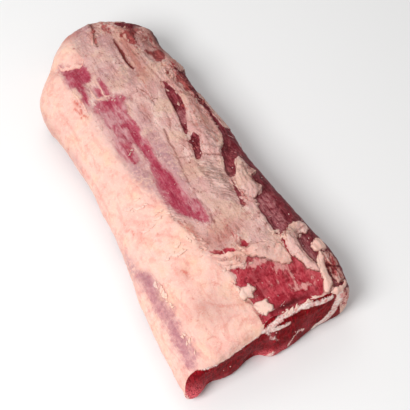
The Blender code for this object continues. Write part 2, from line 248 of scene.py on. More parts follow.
# Where the silver skin is drawn into wrinkles across the joint; the wrinkle lines are also darkened in
# colour as painted shade
CROSS_WRINKLES = (
    (1.3, 35, -44, 11, 24), (0.5, 56, 4, 12, 24), (0.4, 55, 92, 8, 20), (0.6, 40, -74, 12, 14),
    (0.9, -42, -62, 22, 26), (0.6, -40, -104, 22, 14), (0.5, 66, -140, 12, 12),
)

# Fine red vessels and creases in the fat, the creases' orange-brown partly painted shade: width, strength,
# then the path
VESSELS = (
    (2.4, 0.85, ((-53, 126), (-51, 116), (-53, 106), (-50, 98))),
    (2.0, 0.75, ((-57, 118), (-55, 110), (-56, 102))),
    (1.8, 0.60, ((-49, 132), (-47, 122), (-48, 112))),
    (1.2, 0.35, ((-66, 62), (-67, 52), (-69, 44), (-68, 36))),
    (2.2, 0.55, ((-77, -46), (-73, -49), (-73, -55), (-76, -58))),
    (1.5, 0.35, ((-62, -58), (-68, -62), (-70, -70), (-66, -76))),
    (3.0, 0.75, ((-53, -124), (-50, -128), (-50, -133))),
    (1.8, 0.35, ((-66, -198), (-59, -199), (-55, -204), (-57, -211), (-64, -214))),
    (2.2, 0.60, ((-29, -74), (-26, -84), (-22, -93), (-20, -101))),
    (1.3, 0.40, ((-87, 132), (-85, 116), (-85, 102), (-81, 90))),
    (1.2, 0.35, ((-40, -104), (-34, -112), (-34, -122))),
    (2.6, 0.28, ((-48, -166), (-36, -177), (-16, -186), (-10, -188))),
    (1.5, 0.70, ((-16, -184), (-12, -186), (-6, -185))),
    (1.2, 0.30, ((-50, -150), (-62, -142), (-68, -150))),
    (3.0, 0.30, ((-62, -22), (-48, -36), (-34, -50))),
    (2.6, 0.28, ((-66, -44), (-50, -58), (-36, -72))),
    (2.8, 0.30, ((-54, -74), (-40, -88), (-30, -104))),
    (2.4, 0.26, ((-46, -18), (-40, -30), (-36, -44))),
    (2.4, 0.25, ((-70, -96), (-52, -108), (-40, -124))),
    (2.4, 0.30, ((-72, 130), (-70, 100), (-72, 70))),
    (2.0, 0.25, ((-80, 60), (-78, 30), (-80, 0))),
    (2.4, 0.35, ((-34, -206), (-24, -200), (-16, -206))),
    (2.0, 0.30, ((-44, -196), (-34, -192), (-24, -194))),
    (1.8, 0.50, ((60, -14), (58, 10), (61, 34), (66, 52))),
    (1.4, 0.45, ((50, 60), (52, 40), (49, 22), (46, 8))),
    (1.4, 0.50, ((24, 118), (26, 104), (22, 92), (22, 80))),
    (1.2, 0.40, ((-44, -62), (-37, -58), (-30, -62))),
    (1.4, 0.40, ((-50, -50), (-44, -56), (-34, -53))),
    (1.2, 0.30, ((-84, 30), (-80, 10), (-81, -12))),
)
# Dark creases of the silver skin, their darkness partly painted shade in the creases: width, strength, then
# the path
CREASES = (
    (2.0, 0.90, ((14, 36), (13, 27), (11, 18), (11, 8))),
    (1.6, 0.70, ((11, 8), (9, -4), (7, -14), (5, -26), (3, -40))),
    (3.0, 0.95, ((14, 220), (11, 206), (9, 197), (5, 188), (4, 180))),
    (1.5, 0.60, ((16, 96), (18, 84), (22, 78), (21, 70))),
    (1.4, 0.50, ((5, 84), (3, 70), (6, 58), (5, 48))),
    (1.8, 0.70, ((24, -24), (23, -36), (26, -46), (24, -58))),
    (1.6, 0.70, ((18, -62), (22, -66), (20, -72))),
    (2.6, 0.95, ((26, 182), (26, 166), (25, 150), (25, 134))),
    (1.6, 0.60, ((40, 132), (43, 112), (46, 100))),
    (1.5, 0.55, ((37, 186), (36, 160), (38, 140))),
    (1.4, 0.45, ((-8, 168), (-10, 150), (-6, 132))),
    (1.4, 0.55, ((2, -50), (2, -62), (4, -74), (2, -96))),
    (1.6, 0.70, ((-13, -184), (-9, -190), (-10, -200), (-7, -210))),
    (1.5, 0.60, ((34, -18), (38, -34), (44, -52))),
    (1.4, 0.50, ((46, -10), (50, 6), (46, 24), (52, 44))),
    (1.8, 0.80, ((23, -33), (29, -38), (36, -43), (41, -50))),
    (1.5, 0.55, ((25, -28), (31, -33), (39, -38))),
    (1.5, 0.60, ((25, -39), (29, -46), (35, -52), (42, -56))),
    (1.8, 0.80, ((37, -14), (44, -19), (53, -24))),
    (1.5, 0.60, ((41, -2), (48, -9), (54, -13), (61, -12))),
    (1.4, 0.50, ((56, 42), (54, 28), (57, 16), (63, 8))),
    (2.2, 0.95, ((68, -44), (66, -52), (66, -60), (69, -68))),
    (1.4, 0.60, ((61, -42), (57, -54), (55, -66), (55, -78))),
    (1.4, 0.50, ((65, -46), (61, -56), (60, -68), (61, -80))),
    (2.4, 0.95, ((65, -69), (69, -74), (68, -79))),
    (1.6, 0.60, ((62, -142), (66, -150), (66, -162), (70, -178), (74, -190))),
    (1.8, 0.70, ((72, -144), (79, -141), (86, -140))),
    (1.4, 0.55, ((7, -5), (15, -8), (25, -12))),
    (1.4, 0.50, ((24, -22), (25, -32), (23, -44), (25, -56))),
    (1.4, 0.50, ((28, 60), (26, 44), (20, 30), (24, 14), (30, 8))),
)

# Fat and sinew seams of the narrow far end, as (x, z): width, sharpness, then the path
FAR_SEAMS = (
    (3.4, 0.35, ((-24, 30), (-10, 24), (4, 31), (16, 28), (28, 36), (44, 34))),
    (2.4, 0.3, ((12, 28), (16, 18), (8, 4))),
    (5.0, 0.3, ((52, 36), (44, 20), (48, 6))),
)

# The cut end, as (x, z): the top edge of its lean, then the fat and sinew seams that cross it, each
# with its width, sharpness and path
LEAN_TOP_EDGE = (
    (-120, 30), (-106, 38), (-98, 48), (-88, 53), (-74, 54), (-60, 53), (-45, 57), (-30, 60), (-16, 64),
    (-8, 72), (-2, 84), (68, 84), (74, 64), (79, 50), (84, 8), (120, 0),
)
END_SEAMS = (
    (4.6, 1.0, ((-14, 65), (-4, 66), (8, 68), (24, 68), (42, 65), (58, 61), (70, 60))),
    (6.0, 0.94, ((-4, 62), (3, 59), (10, 58), (16, 57))),
    (9.0, 1.0, ((82, 64), (78, 50), (75, 36), (70, 23), (61, 12), (52, 7))),
    (2.0, 0.58, ((-9, 63), (-5, 50), (0, 40), (4, 34))),
    (4.6, 0.61, ((-4, 14), (-6, 8), (-8, 0))),
    (1.6, 0.82, ((16, 10), (19, 18), (26, 27), (32, 28), (36, 24))),
    (1.4, 0.76, ((-88, 53), (-60, 53), (-45, 57), (-30, 60), (-16, 64))),
    (7.0, 0.88, ((-110, 34), (-108, 20), (-104, 6))),
)


def eased(values, low, high):
    """Ease from 0 to 1 as values go from low to high."""
    t = np.clip((values - low) / (high - low), 0.0, 1.0)
    return t * t * (3.0 - 2.0 * t)


def rounded(points, closed=True, steps=4):
    """A smooth curve through given points."""
    count = len(points)
    curve = []
    for i in range(count if closed else count - 1):
        if closed:
            a, b, c, d = (np.array(points[(i + k) % count], float) for k in (-1, 0, 1, 2))
        else:
            a, b, c, d = (np.array(points[min(max(i + k, 0), count - 1)], float) for k in (-1, 0, 1, 2))
        for s in range(steps):
            t = s / steps
            curve.append(0.5 * (2 * b + (c - a) * t + (2 * a - 5 * b + 4 * c - d) * t**2
                                + (3 * b - a - 3 * c + d) * t**3))
    if not closed:
        curve.append(np.array(points[-1], float))
    return np.array(curve)


def path_gap(u, v, curve, closed=False):
    """Distance of each place (u, v) from a curve."""
    best = np.full(u.shape, np.inf)
    ends = np.roll(curve, -1, axis=0) if closed else curve[1:]
    for (au, av), (bu, bv) in zip(curve, ends):
        du, dv = bu - au, bv - av
        share = np.clip(((u - au) * du + (v - av) * dv) / max(du * du + dv * dv, 1e-9), 0.0, 1.0)
        best = np.minimum(best, np.hypot(u - au - share * du, v - av - share * dv))
    return best


def depth_inside(u, v, outline, steps=4):
    """How far each place is inside a closed outline, and negative outside it."""
    curve = rounded(outline, steps=steps)
    within = np.zeros(u.shape, bool)
    for (au, av), (bu, bv) in zip(curve, np.roll(curve, -1, axis=0)):
        crosses = (av > v) != (bv > v)
        within ^= crosses & (u < au + (v - av) * (bu - au) / (bv - av if bv != av else 1e-9))
    gap = path_gap(u, v, curve, closed=True)
    return np.where(within, gap, -gap)


def deepest(u, v, outlines):
    """Depth inside whichever of several outlines is nearest."""
    return np.max([depth_inside(u, v, outline) for outline in outlines.values()], axis=0)


def soft_spots(u, v, spots):
    """Sum of soft oval spots."""
    total = np.zeros(u.shape)
    for strength, mid_u, mid_v, half_u, half_v in spots:
        total += strength * np.exp(-((u - mid_u) / half_u) ** 2 - ((v - mid_v) / half_v) ** 2)
    return total


def strokes_at(u, v, strokes):
    """Strength of thin strokes, each fading over its own width."""
    total = np.zeros(u.shape)
    for width, strength, path in strokes:
        gap = path_gap(u, v, rounded(path, closed=False))
        total = np.maximum(total, strength * (1.0 - eased(gap, 0.0, width)))
    return total


def seams_at(u, v, seams):
    """Depth inside the nearest of several seams."""
    depths = []
    for width, sharpness, path in seams:
        gap = path_gap(u, v, rounded(path, closed=False))
        depths.append(sharpness * (width * 0.5 - gap))
    return np.max(depths, axis=0)


def wobble(places, length, stretch=(1.0, 1.0, 1.0), seed=0.0):
    """Smooth noise about 0 at each place, with features about as long as length times the stretch."""
    scaled = places / (length * np.array(stretch)) + seed
    return np.array([noise.noise(p) for p in scaled.tolist()])


def waves(places, rows, seed=0.0):
    """Several wobbles added up; each row gives a height, a length and a change of seed."""
    return sum(height * wobble(places, length, seed=seed + shift) for height, length, shift in rows)


def fold_lines(places, length, stretch=(1.0, 1.0, 1.0), seed=0.0, width=0.12):
    """Thin winding lines, 1 on the line and 0 away from it."""
    return np.exp(-((wobble(places, length, stretch, seed) / width) ** 2))


def turned(places, degrees):
    """Places measured from axes turned about z."""
    c, s = math.cos(math.radians(degrees)), math.sin(math.radians(degrees))
    return places @ np.array([[c, -s, 0.0], [s, c, 0.0], [0.0, 0.0, 1.0]])


def fine_skin(node):
    """A copy of a CAD node's mesh, merged, made mostly of quads and subdivided."""
    shell = bmesh.new()
    shell.from_mesh(node.data)
    bmesh.ops.remove_doubles(shell, verts=shell.verts, dist=0.00001)
    flat, square = math.radians(50), math.radians(60)
    bmesh.ops.join_triangles(
        shell, faces=shell.faces, angle_face_threshold=flat, angle_shape_threshold=square
    )
    mesh = bpy.data.meshes.new("joint_skin")
    shell.to_mesh(mesh)
    shell.free()
    holder = bpy.data.objects.new("joint_skin_draft", mesh)
    bpy.context.scene.collection.objects.link(holder)
    finer = holder.modifiers.new("finer", "SUBSURF")
    finer.levels = SKIN_LEVELS
    finer.render_levels = SKIN_LEVELS
    evaluated = holder.evaluated_get(bpy.context.evaluated_depsgraph_get())
    result = bpy.data.meshes.new_from_object(evaluated)
    bpy.data.objects.remove(holder, do_unlink=True)
    return result


def read_vectors(items, field):
    """One vector from each item of a mesh, as rows."""
    values = np.empty(len(items) * 3)
    items.foreach_get(field, values)
    return values.reshape(-1, 3)


def store(mesh, name, values):
    """Keep one number for each point of a mesh, for its material to read."""
    layer = mesh.attributes.new(name, "FLOAT", "POINT")
    layer.data.foreach_set("value", np.asarray(values, np.float32))


def add_piece(name, mesh, material, *instead_of):
    """Put a finished mesh in the scene as a piece that rides with the joint."""
    piece = bpy.data.objects.new(name, mesh)
    bpy.context.scene.collection.objects.link(piece)
    mesh.materials.clear()
    mesh.materials.append(material)
    mesh.shade_smooth()
    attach(piece, "root")
    if instead_of:
        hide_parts(*instead_of)


def seen(tint):
    """A colour as the eye reads it, 0 to 255, turned into the shader's own scale."""
    parts = [c / 255.0 for c in tint]
    return tuple(p / 12.92 if p <= 0.04 else ((p + 0.055) / 1.055) ** 2.4 for p in parts) + (1.0,)


class Recipe:
    """A material's node tree, built up one ingredient at a time."""

    def __init__(self, name):
        self.material = bpy.data.materials.new(name)
        self.material.use_nodes = True
        self.tree = self.material.node_tree
        self.shader = self.tree.nodes["Principled BSDF"]
        self.place = self.tree.nodes.new("ShaderNodeTexCoord").outputs["Object"]

    def feed(self, socket, value):
        """Join a node's output to a socket, or set the socket to a plain value."""
        if isinstance(value, bpy.types.NodeSocket):
            self.tree.links.new(value, socket)
        elif value is not None:
            socket.default_value = value

    def read(self, name):
        """A number kept on the mesh."""
        reader = self.tree.nodes.new("ShaderNodeAttribute")
        reader.attribute_name = name
        return reader.outputs["Fac"]

    def sum(self, operation, a, b=None, c=None, clamp=False):
        """Arithmetic on two or three numbers."""
        step = self.tree.nodes.new("ShaderNodeMath")
        step.operation = operation
        step.use_clamp = clamp
        for socket, value in zip(step.inputs, (a, b, c)):
            self.feed(socket, value)
        return step.outputs[0]

    def share(self, a, b):
        """The product of two numbers, held between 0 and 1."""
        return self.sum("MULTIPLY", a, b, clamp=True)

    def swing(self, grain, size, base=0.0):
        """A base with a grain's swing about its middle, times a size, added to it."""
        return self.sum("MULTIPLY_ADD", self.sum("SUBTRACT", grain, 0.5), size, base)

    def span(self, value, low, high):
        """Ease from 0 to 1 as a value goes from low to high."""
        step = self.tree.nodes.new("ShaderNodeMapRange")
        step.interpolation_type = "SMOOTHSTEP"
        self.feed(step.inputs["Value"], value)
        step.inputs["From Min"].default_value = low
        step.inputs["From Max"].default_value = high
        return step.outputs["Result"]

    def laid(self, size, turn):
        """Object coordinates turned about z, in degrees, and measured in sizes along each axis."""
        mapping = self.tree.nodes.new("ShaderNodeMapping")
        mapping.vector_type = "TEXTURE"
        self.feed(mapping.inputs["Vector"], self.place)
        mapping.inputs["Rotation"].default_value = (0.0, 0.0, math.radians(turn))
        mapping.inputs["Scale"].default_value = size
        return mapping.outputs["Vector"]

    def grain(self, length_mm, detail=3.0, roughness=0.55, stretch=(1, 1, 1), twist=0.0, turn=0.0):
        """Noise from 0 to 1 whose features are about length_mm long, times the stretch."""
        texture = self.tree.nodes.new("ShaderNodeTexNoise")
        size = [length_mm * MM * s for s in stretch]
        self.feed(texture.inputs["Vector"], self.laid(size, turn))
        texture.inputs["Scale"].default_value = 1.0
        texture.inputs["Detail"].default_value = detail
        texture.inputs["Roughness"].default_value = roughness
        texture.inputs["Distortion"].default_value = twist
        return texture.outputs["Fac"]

    def threads(self, length_mm, width=0.03, detail=1.0, stretch=(1, 1, 1), twist=0.0, turn=0.0):
        """Thin winding lines, 1 on the line and 0 away from it."""
        level = self.grain(length_mm, detail=detail, stretch=stretch, twist=twist, turn=turn)
        return self.span(self.sum("ABSOLUTE", self.sum("SUBTRACT", level, 0.5)), width, 0.0)

    def ramp(self, value, stops):
        """Colours blended along a value; stops are (place, colour)."""
        blend = self.tree.nodes.new("ShaderNodeValToRGB")
        points = blend.color_ramp.elements
        while len(points) < len(stops):
            points.new(0.5)
        for point, (place, tint) in zip(points, stops):
            point.position = place
            point.color = seen(tint)
        self.feed(blend.inputs["Fac"], value)
        return blend.outputs["Color"]

    def mix(self, share, a, b):
        """Blend two colours."""
        blend = self.tree.nodes.new("ShaderNodeMix")
        blend.data_type = "RGBA"
        self.feed(blend.inputs[0], share)
        self.feed(blend.inputs[6], seen(a) if isinstance(a, tuple) else a)
        self.feed(blend.inputs[7], seen(b) if isinstance(b, tuple) else b)
        return blend.outputs[2]

    def coats(self, colour, *layers):
        """A colour under thin coats, each as strong as its grain stands between two levels."""
        for strength, grain, low, high, tint in layers:
            colour = self.mix(self.share(self.span(grain, low, high), strength), colour, tint)
        return colour

    def finish(self, surface, roughness, height, depth_mm):
        """Join colour, gloss and relief to the shader, as damp flesh."""
        self.feed(self.shader.inputs["Base Color"], surface)
        self.feed(self.shader.inputs["Roughness"], roughness)
        relief = self.tree.nodes.new("ShaderNodeBump")
        relief.inputs["Distance"].default_value = depth_mm * MM
        self.feed(relief.inputs["Height"], height)
        self.feed(self.shader.inputs["Normal"], relief.outputs["Normal"])
        self.shader.inputs["Subsurface Weight"].default_value = 0.12
        self.shader.inputs["Subsurface Radius"].default_value = (1.0, 0.4, 0.25)
        self.shader.inputs["Subsurface Scale"].default_value = 0.002
        self.shader.inputs["Specular IOR Level"].default_value = 0.03
        return self.material


def raw_beef():
    """Fat, silver skin and lean, each laid where the mesh says it shows."""
    r = Recipe("raw_beef_surface")
    broad = r.grain(26.0, detail=2.0)
    cloud = r.grain(10.0, detail=5.0, roughness=0.6)
    mottle = r.grain(4.0, detail=5.0, roughness=0.6)
    fleck = r.grain(1.6, detail=3.0)
    fibre = r.grain(1.8, detail=4.0, stretch=(1, 9, 1), twist=0.5)
    strand = r.grain(8.0, detail=5.0, roughness=0.6, stretch=(1, 4, 1), twist=0.8)
    haze = r.grain(4.4, detail=6.0, roughness=0.62, stretch=(1, 4.5, 1), twist=0.6)
    patch = r.grain(6.0, detail=3.0)
    scrap_grain = r.grain(6.0, detail=6.0, roughness=0.62, stretch=(1, 2.6, 1), twist=1.2)
    ragged = r.swing(cloud, 8.0, r.swing(fibre, 6.0, r.swing(fleck, 3.0)))

    def shows(name, softness, roughen=1.0, inset=0.0):
        """Where an outlined layer shows, with a ragged edge."""
        depth = r.sum("MULTIPLY_ADD", ragged, roughen, r.read(name))
        return r.span(depth, inset - softness, inset + softness)

    fat = r.coats(
        r.ramp(broad, ((0.3, (236, 182, 170)), (0.5, (243, 196, 182)), (0.7, (243, 196, 172)))),
        (0.6, cloud, 0.46, 0.66, (232, 164, 150)),
        (0.7, mottle, 0.5, 0.7, (250, 210, 194)),
        (0.4, strand, 0.54, 0.66, (228, 156, 144)),
        (0.4, fleck, 0.56, 0.7, (252, 220, 208)),
    )
    faint_veins = r.share(r.threads(19.0, 0.012, 3.0, twist=0.6), 0.35)
    fat = r.mix(r.share(faint_veins, r.span(cloud, 0.46, 0.58)), fat, (206, 100, 88))

    skin = r.coats(
        r.ramp(strand, ((0.32, (200, 150, 142)), (0.44, (224, 178, 170)), (0.56, (234, 192, 183)),
                        (0.68, (244, 210, 199)))),
        (0.55, broad, 0.5, 0.6, (226, 186, 162)),
        (0.5, broad, 0.46, 0.38, (218, 163, 160)),
        (0.2, fibre, 0.52, 0.68, (190, 138, 126)),
        (0.55, mottle, 0.5, 0.68, (243, 208, 194)),
        (0.65, cloud, 0.52, 0.64, (204, 146, 138)),
    )
    skin_lines = r.share(r.threads(14.0, 0.018, 3.0, (1, 4, 1), 1.2), 0.85)
    skin = r.mix(r.share(skin_lines, r.span(cloud, 0.42, 0.58)), skin, (140, 84, 72))

    rose = r.coats(
        r.ramp(strand, ((0.34, (152, 44, 66)), (0.5, (172, 66, 86)), (0.66, (188, 92, 108)))),
        (0.45, fibre, 0.48, 0.66, (198, 116, 126)),
        (0.3, fleck, 0.55, 0.68, (208, 142, 146)),
        (0.5, mottle, 0.5, 0.36, (150, 36, 60)),
    )
    film_cloud = r.swing(haze, 3.4, r.swing(cloud, 2.4))
    veil = r.sum("ADD", r.read("veil"), film_cloud)
    rose = r.mix(r.share(r.span(veil, 0.0, 1.4), 0.9), rose, (212, 160, 162))
    film = r.span(r.sum("ADD", r.read("film"), film_cloud), 0.35, 1.0)
    film = r.share(film, r.span(r.read("film"), 0.04, 0.3))

    crimson = r.coats(
        r.ramp(r.grain(2.4, detail=4.0, stretch=(1, 3, 1), twist=0.4),
               ((0.3, (158, 40, 52)), (0.5, (184, 62, 74)), (0.7, (200, 88, 96)))),
        (0.7, cloud, 0.5, 0.6, (146, 28, 42)),
        (0.5, strand, 0.5, 0.6, (208, 104, 110)),
        (0.7, patch, 0.46, 0.36, (128, 20, 32)),
    )
    dark = r.coats(
        r.ramp(fibre, ((0.34, (90, 25, 32)), (0.5, (127, 47, 56)), (0.68, (162, 79, 85)))),
        (0.6, mottle, 0.52, 0.66, (160, 92, 92)),
        (0.5, cloud, 0.5, 0.4, (78, 15, 22)),
    )
    end_lean = r.coats(
        r.ramp(r.grain(2.0, detail=4.0, stretch=(1, 3, 4.5), twist=0.3),
               ((0.3, (82, 2, 8)), (0.5, (130, 2, 14)), (0.7, (172, 26, 38)))),
        (0.6, cloud, 0.48, 0.62, (86, 0, 8)),
    )
    end_lean = r.mix(r.share(r.read("bright_end"), r.span(fibre, 0.3, 0.6)), end_lean, (250, 112, 122))
    belly = r.mix(r.span(strand, 0.45, 0.6), dark, rose)
    belly = r.mix(r.share(r.threads(26.0, 0.05, 3.0, (1, 3, 1), 1.0), 0.9), belly, fat)

    bruised = r.ramp(mottle, ((0.35, (158, 98, 116)), (0.65, (200, 143, 148))))
    rose_border = r.ramp(mottle, ((0.35, (178, 120, 126)), (0.65, (206, 158, 156))))
    dusted = r.ramp(fibre, ((0.35, (150, 72, 82)), (0.65, (194, 130, 130))))
    bone = r.ramp(strand, ((0.36, (104, 28, 32)), (0.5, (144, 50, 50)), (0.64, (188, 92, 88))))
    end_fat = r.ramp(mottle, ((0.38, (224, 150, 146)), (0.5, (242, 208, 200)), (0.6, (250, 228, 220))))
    blood = r.ramp(mottle, ((0.4, (126, 36, 42)), (0.52, (168, 68, 70)), (0.64, (208, 120, 114))))
    scraps = r.ramp(scrap_grain, ((0.34, (112, 26, 34)), (0.43, (172, 74, 74)), (0.49, (216, 146, 138)),
                                  (0.56, (236, 188, 176)), (0.66, (248, 218, 206))))

    on_fat = shows("fat_cap", 4.0)
    scrap_share = r.span(r.swing(mottle, 1.8, r.read("scrappy")), 0.2, 0.8)
    drawn = r.sum("MULTIPLY", r.threads(3.4, 0.06, 2.0, (7, 1, 1), 0.4, WRINKLE_TURN), r.read("drawn"))
    worn = r.span(r.swing(cloud, 5.0, r.read("rim")), 1.0, 0.0)
    stain = r.span(r.swing(mottle, 3.0, r.swing(strand, 1.6, r.read("stain"))), 0.4, 1.1)
    surface = skin
    for where, colour in (
        (on_fat, fat),
        (r.share(r.read("violet"), r.span(mottle, 0.25, 0.62)), (186, 139, 143)),
        (r.share(r.read("warm"), r.span(strand, 0.26, 0.54)), (182, 110, 98)),
        (scrap_share, scraps),
        (r.share(shows("bruise", 6.0, 2.0, -1.5), 0.8), bruised),
        (r.share(shows("rose_lean", 4.0, 1.6, -2.5), 0.7), rose_border),
        (shows("rose_lean", 1.8, 1.2, 0.4), rose),
        (shows("dark_lean", 0.5, 0.5), dark),
        (r.share(r.read("dusty"), r.span(mottle, 0.3, 0.6)), dusted),
        (r.share(shows("bone_red", 1.6), 0.9), bone),
        (shows("crimson_lean", 0.8, 0.8), crimson),
        (r.share(film, 0.85), (228, 164, 158)),
        (shows("end_lean", 0.6, 0.35), end_lean),
        (shows("end_fat", 0.8, 0.6), end_fat),
        (r.read("underside"), belly),
        # Red vessels, and creases in the fat whose colour is partly painted shade
        (r.share(r.read("vessel"), r.span(mottle, 0.34, 0.56)), (204, 84, 70)),
        # Creases and fold lines darkened, partly as painted shade in the creases
        (r.share(r.read("crease"), r.span(mottle, 0.3, 0.5)), (122, 58, 50)),
        # Wrinkle lines darkened as painted shade in the wrinkles
        (r.share(drawn, 0.2), (176, 108, 104)),
        (r.share(worn, 0.75), (164, 78, 68)),
        # The shade mark darkens where positive, painted shade with some darker tone, and lightens where
        # negative, painted highlights and the paler tone of loose pieces
        (r.share(r.read("shade"), 0.75), (80, 24, 26)),
        (r.share(r.read("shade"), -0.8), (250, 218, 204)),
        (r.share(stain, 0.8), blood),
    ):
        surface = r.mix(where, surface, colour)

    open_lean = r.sum("MAXIMUM", shows("crimson_lean", 1.5), shows("end_lean", 1.5))
    relief = r.sum("MULTIPLY_ADD", mottle, 1.2, r.sum("MULTIPLY", fibre, 0.35))
    relief = r.sum("MULTIPLY_ADD", fleck, 0.2, relief)
    relief = r.sum("MULTIPLY", relief, r.sum("MULTIPLY_ADD", on_fat, -0.5, 1.0))
    relief = r.sum("MULTIPLY_ADD", drawn, -1.1, relief)
    relief = r.sum("MULTIPLY_ADD", scrap_grain, r.sum("MULTIPLY", scrap_share, 0.9), relief)
    return r.finish(surface, r.sum("MULTIPLY_ADD", open_lean, 0.1, 0.4), relief, 1.4)


# How a mesh is marked where nothing says otherwise: plain silver skin
OUTLINED = (
    "fat_cap", "rose_lean", "crimson_lean", "dark_lean", "bone_red", "bruise", "end_lean", "end_fat",
)
SPREAD = (
    "veil", "dusty", "bright_end", "underside", "vessel", "crease", "drawn", "stain", "violet", "warm",
    "shade", "scrappy", "film",
)
PLAIN_SKIN = {**dict.fromkeys(OUTLINED, FAR_FROM_ANY), **dict.fromkeys(SPREAD, 0.0), "rim": FAR_FROM_RIM}


def mark(mesh, **marks):
    """Keep on a mesh every number that the beef material reads."""
    for name, plain in PLAIN_SKIN.items():
        store(mesh, name, np.broadcast_to(marks.get(name, plain), len(mesh.vertices)))


joint = fine_skin(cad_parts["rib_roast"])
places = read_vectors(joint.vertices, "co") / MM
normals = read_vectors(joint.vertex_normals, "vector")
px, py, pz = places.T
up = eased(normals[:, 2], -0.1, 0.15)
under = eased(normals[:, 2], -0.15, -0.45)
cut_end = eased(normals[:, 1], -0.3, -0.6) * (py < CUT_END_Y)
far_end = eased(normals[:, 1], 0.4, 0.7) * (py > FAR_END_Y)

fat_depth = depth_inside(px, py, FAT_CAP)
rose_depth = deepest(px, py, ROSE_LEAN)
crimson_depth = deepest(px, py, CRIMSON_LEAN)
uneven = wobble(places, 24.0, seed=15.0)
flank_lean = FLANK_LEAN_TOP - pz + 16.0 * uneven
flank_lean = np.where((px > FLANK_X) & (np.abs(py) < FLANK_HALF_LENGTH), flank_lean, FAR_FROM_ANY)
far_lean = np.minimum(FAR_LEAN_TOP - pz, px - FAR_LEAN_LEFT) + 8.0 * uneven
far_lean = np.where(far_end > 0.02, np.minimum(far_lean, FACE_EDGE * (far_end - 0.4)), FAR_FROM_ANY)
dark_depth = np.maximum(deepest(px, py, DARK_LEAN), np.maximum(flank_lean, far_lean))
vessel = strokes_at(px, py, VESSELS)
crease = strokes_at(px, py, CREASES)
end_lean_depth = np.interp(px, *np.array(LEAN_TOP_EDGE, float).T) - pz
end_lean_depth = np.minimum(end_lean_depth, FACE_EDGE * (cut_end - 0.35))
end_lean_depth = np.where(cut_end > 0.02, end_lean_depth, FAR_FROM_ANY)
end_fat_depth = np.full(px.shape, FAR_FROM_ANY)
for on_face, seams in ((cut_end > 0.3, END_SEAMS), (far_end > 0.5, FAR_SEAMS)):
    seam_depth = np.maximum(end_fat_depth, seams_at(px, pz, seams))
    end_fat_depth = np.where(on_face, seam_depth, end_fat_depth)

on_fat = eased(fat_depth, -1.0, 3.0)
on_rose = eased(rose_depth, -0.5, 2.5)
on_lean = np.max([on_rose, eased(dark_depth, -0.5, 0.5), eased(crimson_depth, -0.5, 0.5)], axis=0)
on_skin = up * (1.0 - on_fat) * (1.0 - on_lean)
across = np.clip(soft_spots(px, py, CROSS_WRINKLES), 0.0, 1.0)
scrappy = soft_spots(px, py, SCRAPPY)
skin_folds = fold_lines(places, 8.0, (1.0, 6.0, 1.0), 21.0, 0.11)
cross_folds = fold_lines(turned(places, WRINKLE_TURN), 5.4, (5.0, 1.0, 1.0), 33.0, 0.2)
fat_folds = fold_lines(places, 15.0, (1.0, 1.0, 1.0), 47.0, 0.07)
patchy = eased(wobble(places, 26.0, seed=90.0), *PATCHY_LEVELS)

# Relief in millimetres: the height of each layer and fold, then grain given as height, where it lies,
# length, stretch along each axis and seed
lift = 0.5 * eased(end_fat_depth, -0.3, 1.7)
for height, layer in (
    (0.8, on_fat),
    (-0.7, on_rose),
    (-1.5, eased(dark_depth, -0.5, 2.0)),
    (-1.6, eased(crimson_depth, -0.5, 2.0)),
    (-0.7, crease),
    (-0.5, vessel),
    (-0.5, on_fat * fat_folds * patchy),
    (-1.0, (1.0 - on_lean) * across * (1.6 - 0.5 * on_fat) * cross_folds),
):
    lift += height * up * layer
lift -= 0.6 * on_skin * (1.0 - across) * skin_folds * patchy
for height, layer, length, stretch, seed in (
    (0.9, 1.0, 22.0, (1.0, 1.0, 1.0), 3.0),
    (0.6, 1.0, 7.0, (1.0, 1.0, 1.0), 9.0),
    (0.35, on_skin, 3.8, (1.0, 5.0, 1.0), 61.0),
    (2.0, np.clip(scrappy, 0.0, 1.0), 5.0, (1.0, 2.4, 1.0), 66.0),
    (0.4, on_lean, 3.4, (1.0, 2.0, 1.0), 71.0),
    (0.5, cut_end, 3.4, (1.0, 1.0, 4.0), 81.0),
):
    lift += height * layer * wobble(places, length, stretch, seed)
lift *= eased(pz, 0.0, 6.0)

joint.vertices.foreach_set("co", ((places + normals * lift[:, None]) * MM).astype(np.float32).ravel())
joint.update()
off_end = cut_end < 0.5
# Fold lines add to the crease colour: painted shade in the folds
fine_creases = on_skin * patchy * (0.3 * (1.0 - across) * skin_folds + 0.35 * across * cross_folds)
mark(
    joint,
    fat_cap=np.where(off_end, fat_depth, CUT_FAT_DEPTH),
    rose_lean=np.where(up > 0.3, rose_depth, FAR_FROM_ANY),
    veil=np.clip(soft_spots(px, py, VEIL), 0.0, 1.0),
    crimson_lean=np.where(off_end, crimson_depth, FAR_FROM_ANY),
    dark_lean=np.where(off_end, dark_depth, FAR_FROM_ANY),
    bone_red=deepest(px, py, BONE_RED),
    bruise=depth_inside(px, py, BRUISE),
    dusty=eased(deepest(px, py, DUSTY_LEAN), 0.0, 4.0),
    end_lean=end_lean_depth,
    end_fat=end_fat_depth,
    bright_end=cut_end * np.clip(soft_spots(px, pz, BRIGHT_END), 0.0, 1.0),
    underside=under * (1.0 - cut_end),
    vessel=vessel * (1.0 - under),
    crease=np.maximum(crease, fine_creases),
    drawn=across * (1.0 - on_lean) * (1.0 - on_fat) * up,
    violet=soft_spots(px, py, VIOLET_CAST) * up,
    warm=soft_spots(px, py, WARM_CAST),
    stain=soft_spots(px, py, STAIN) * off_end,
    scrappy=scrappy * off_end + cut_end * soft_spots(px, pz, SCRAPPY_END),
    film=soft_spots(px, py, FILM),
    # Painted shade and highlights, with some darker and paler tone
    shade=soft_spots(px, py, PAINTED_LIGHT_AND_TONE),
)
beef = raw_beef()
add_piece("joint_surface", joint, beef, "rib_roast")

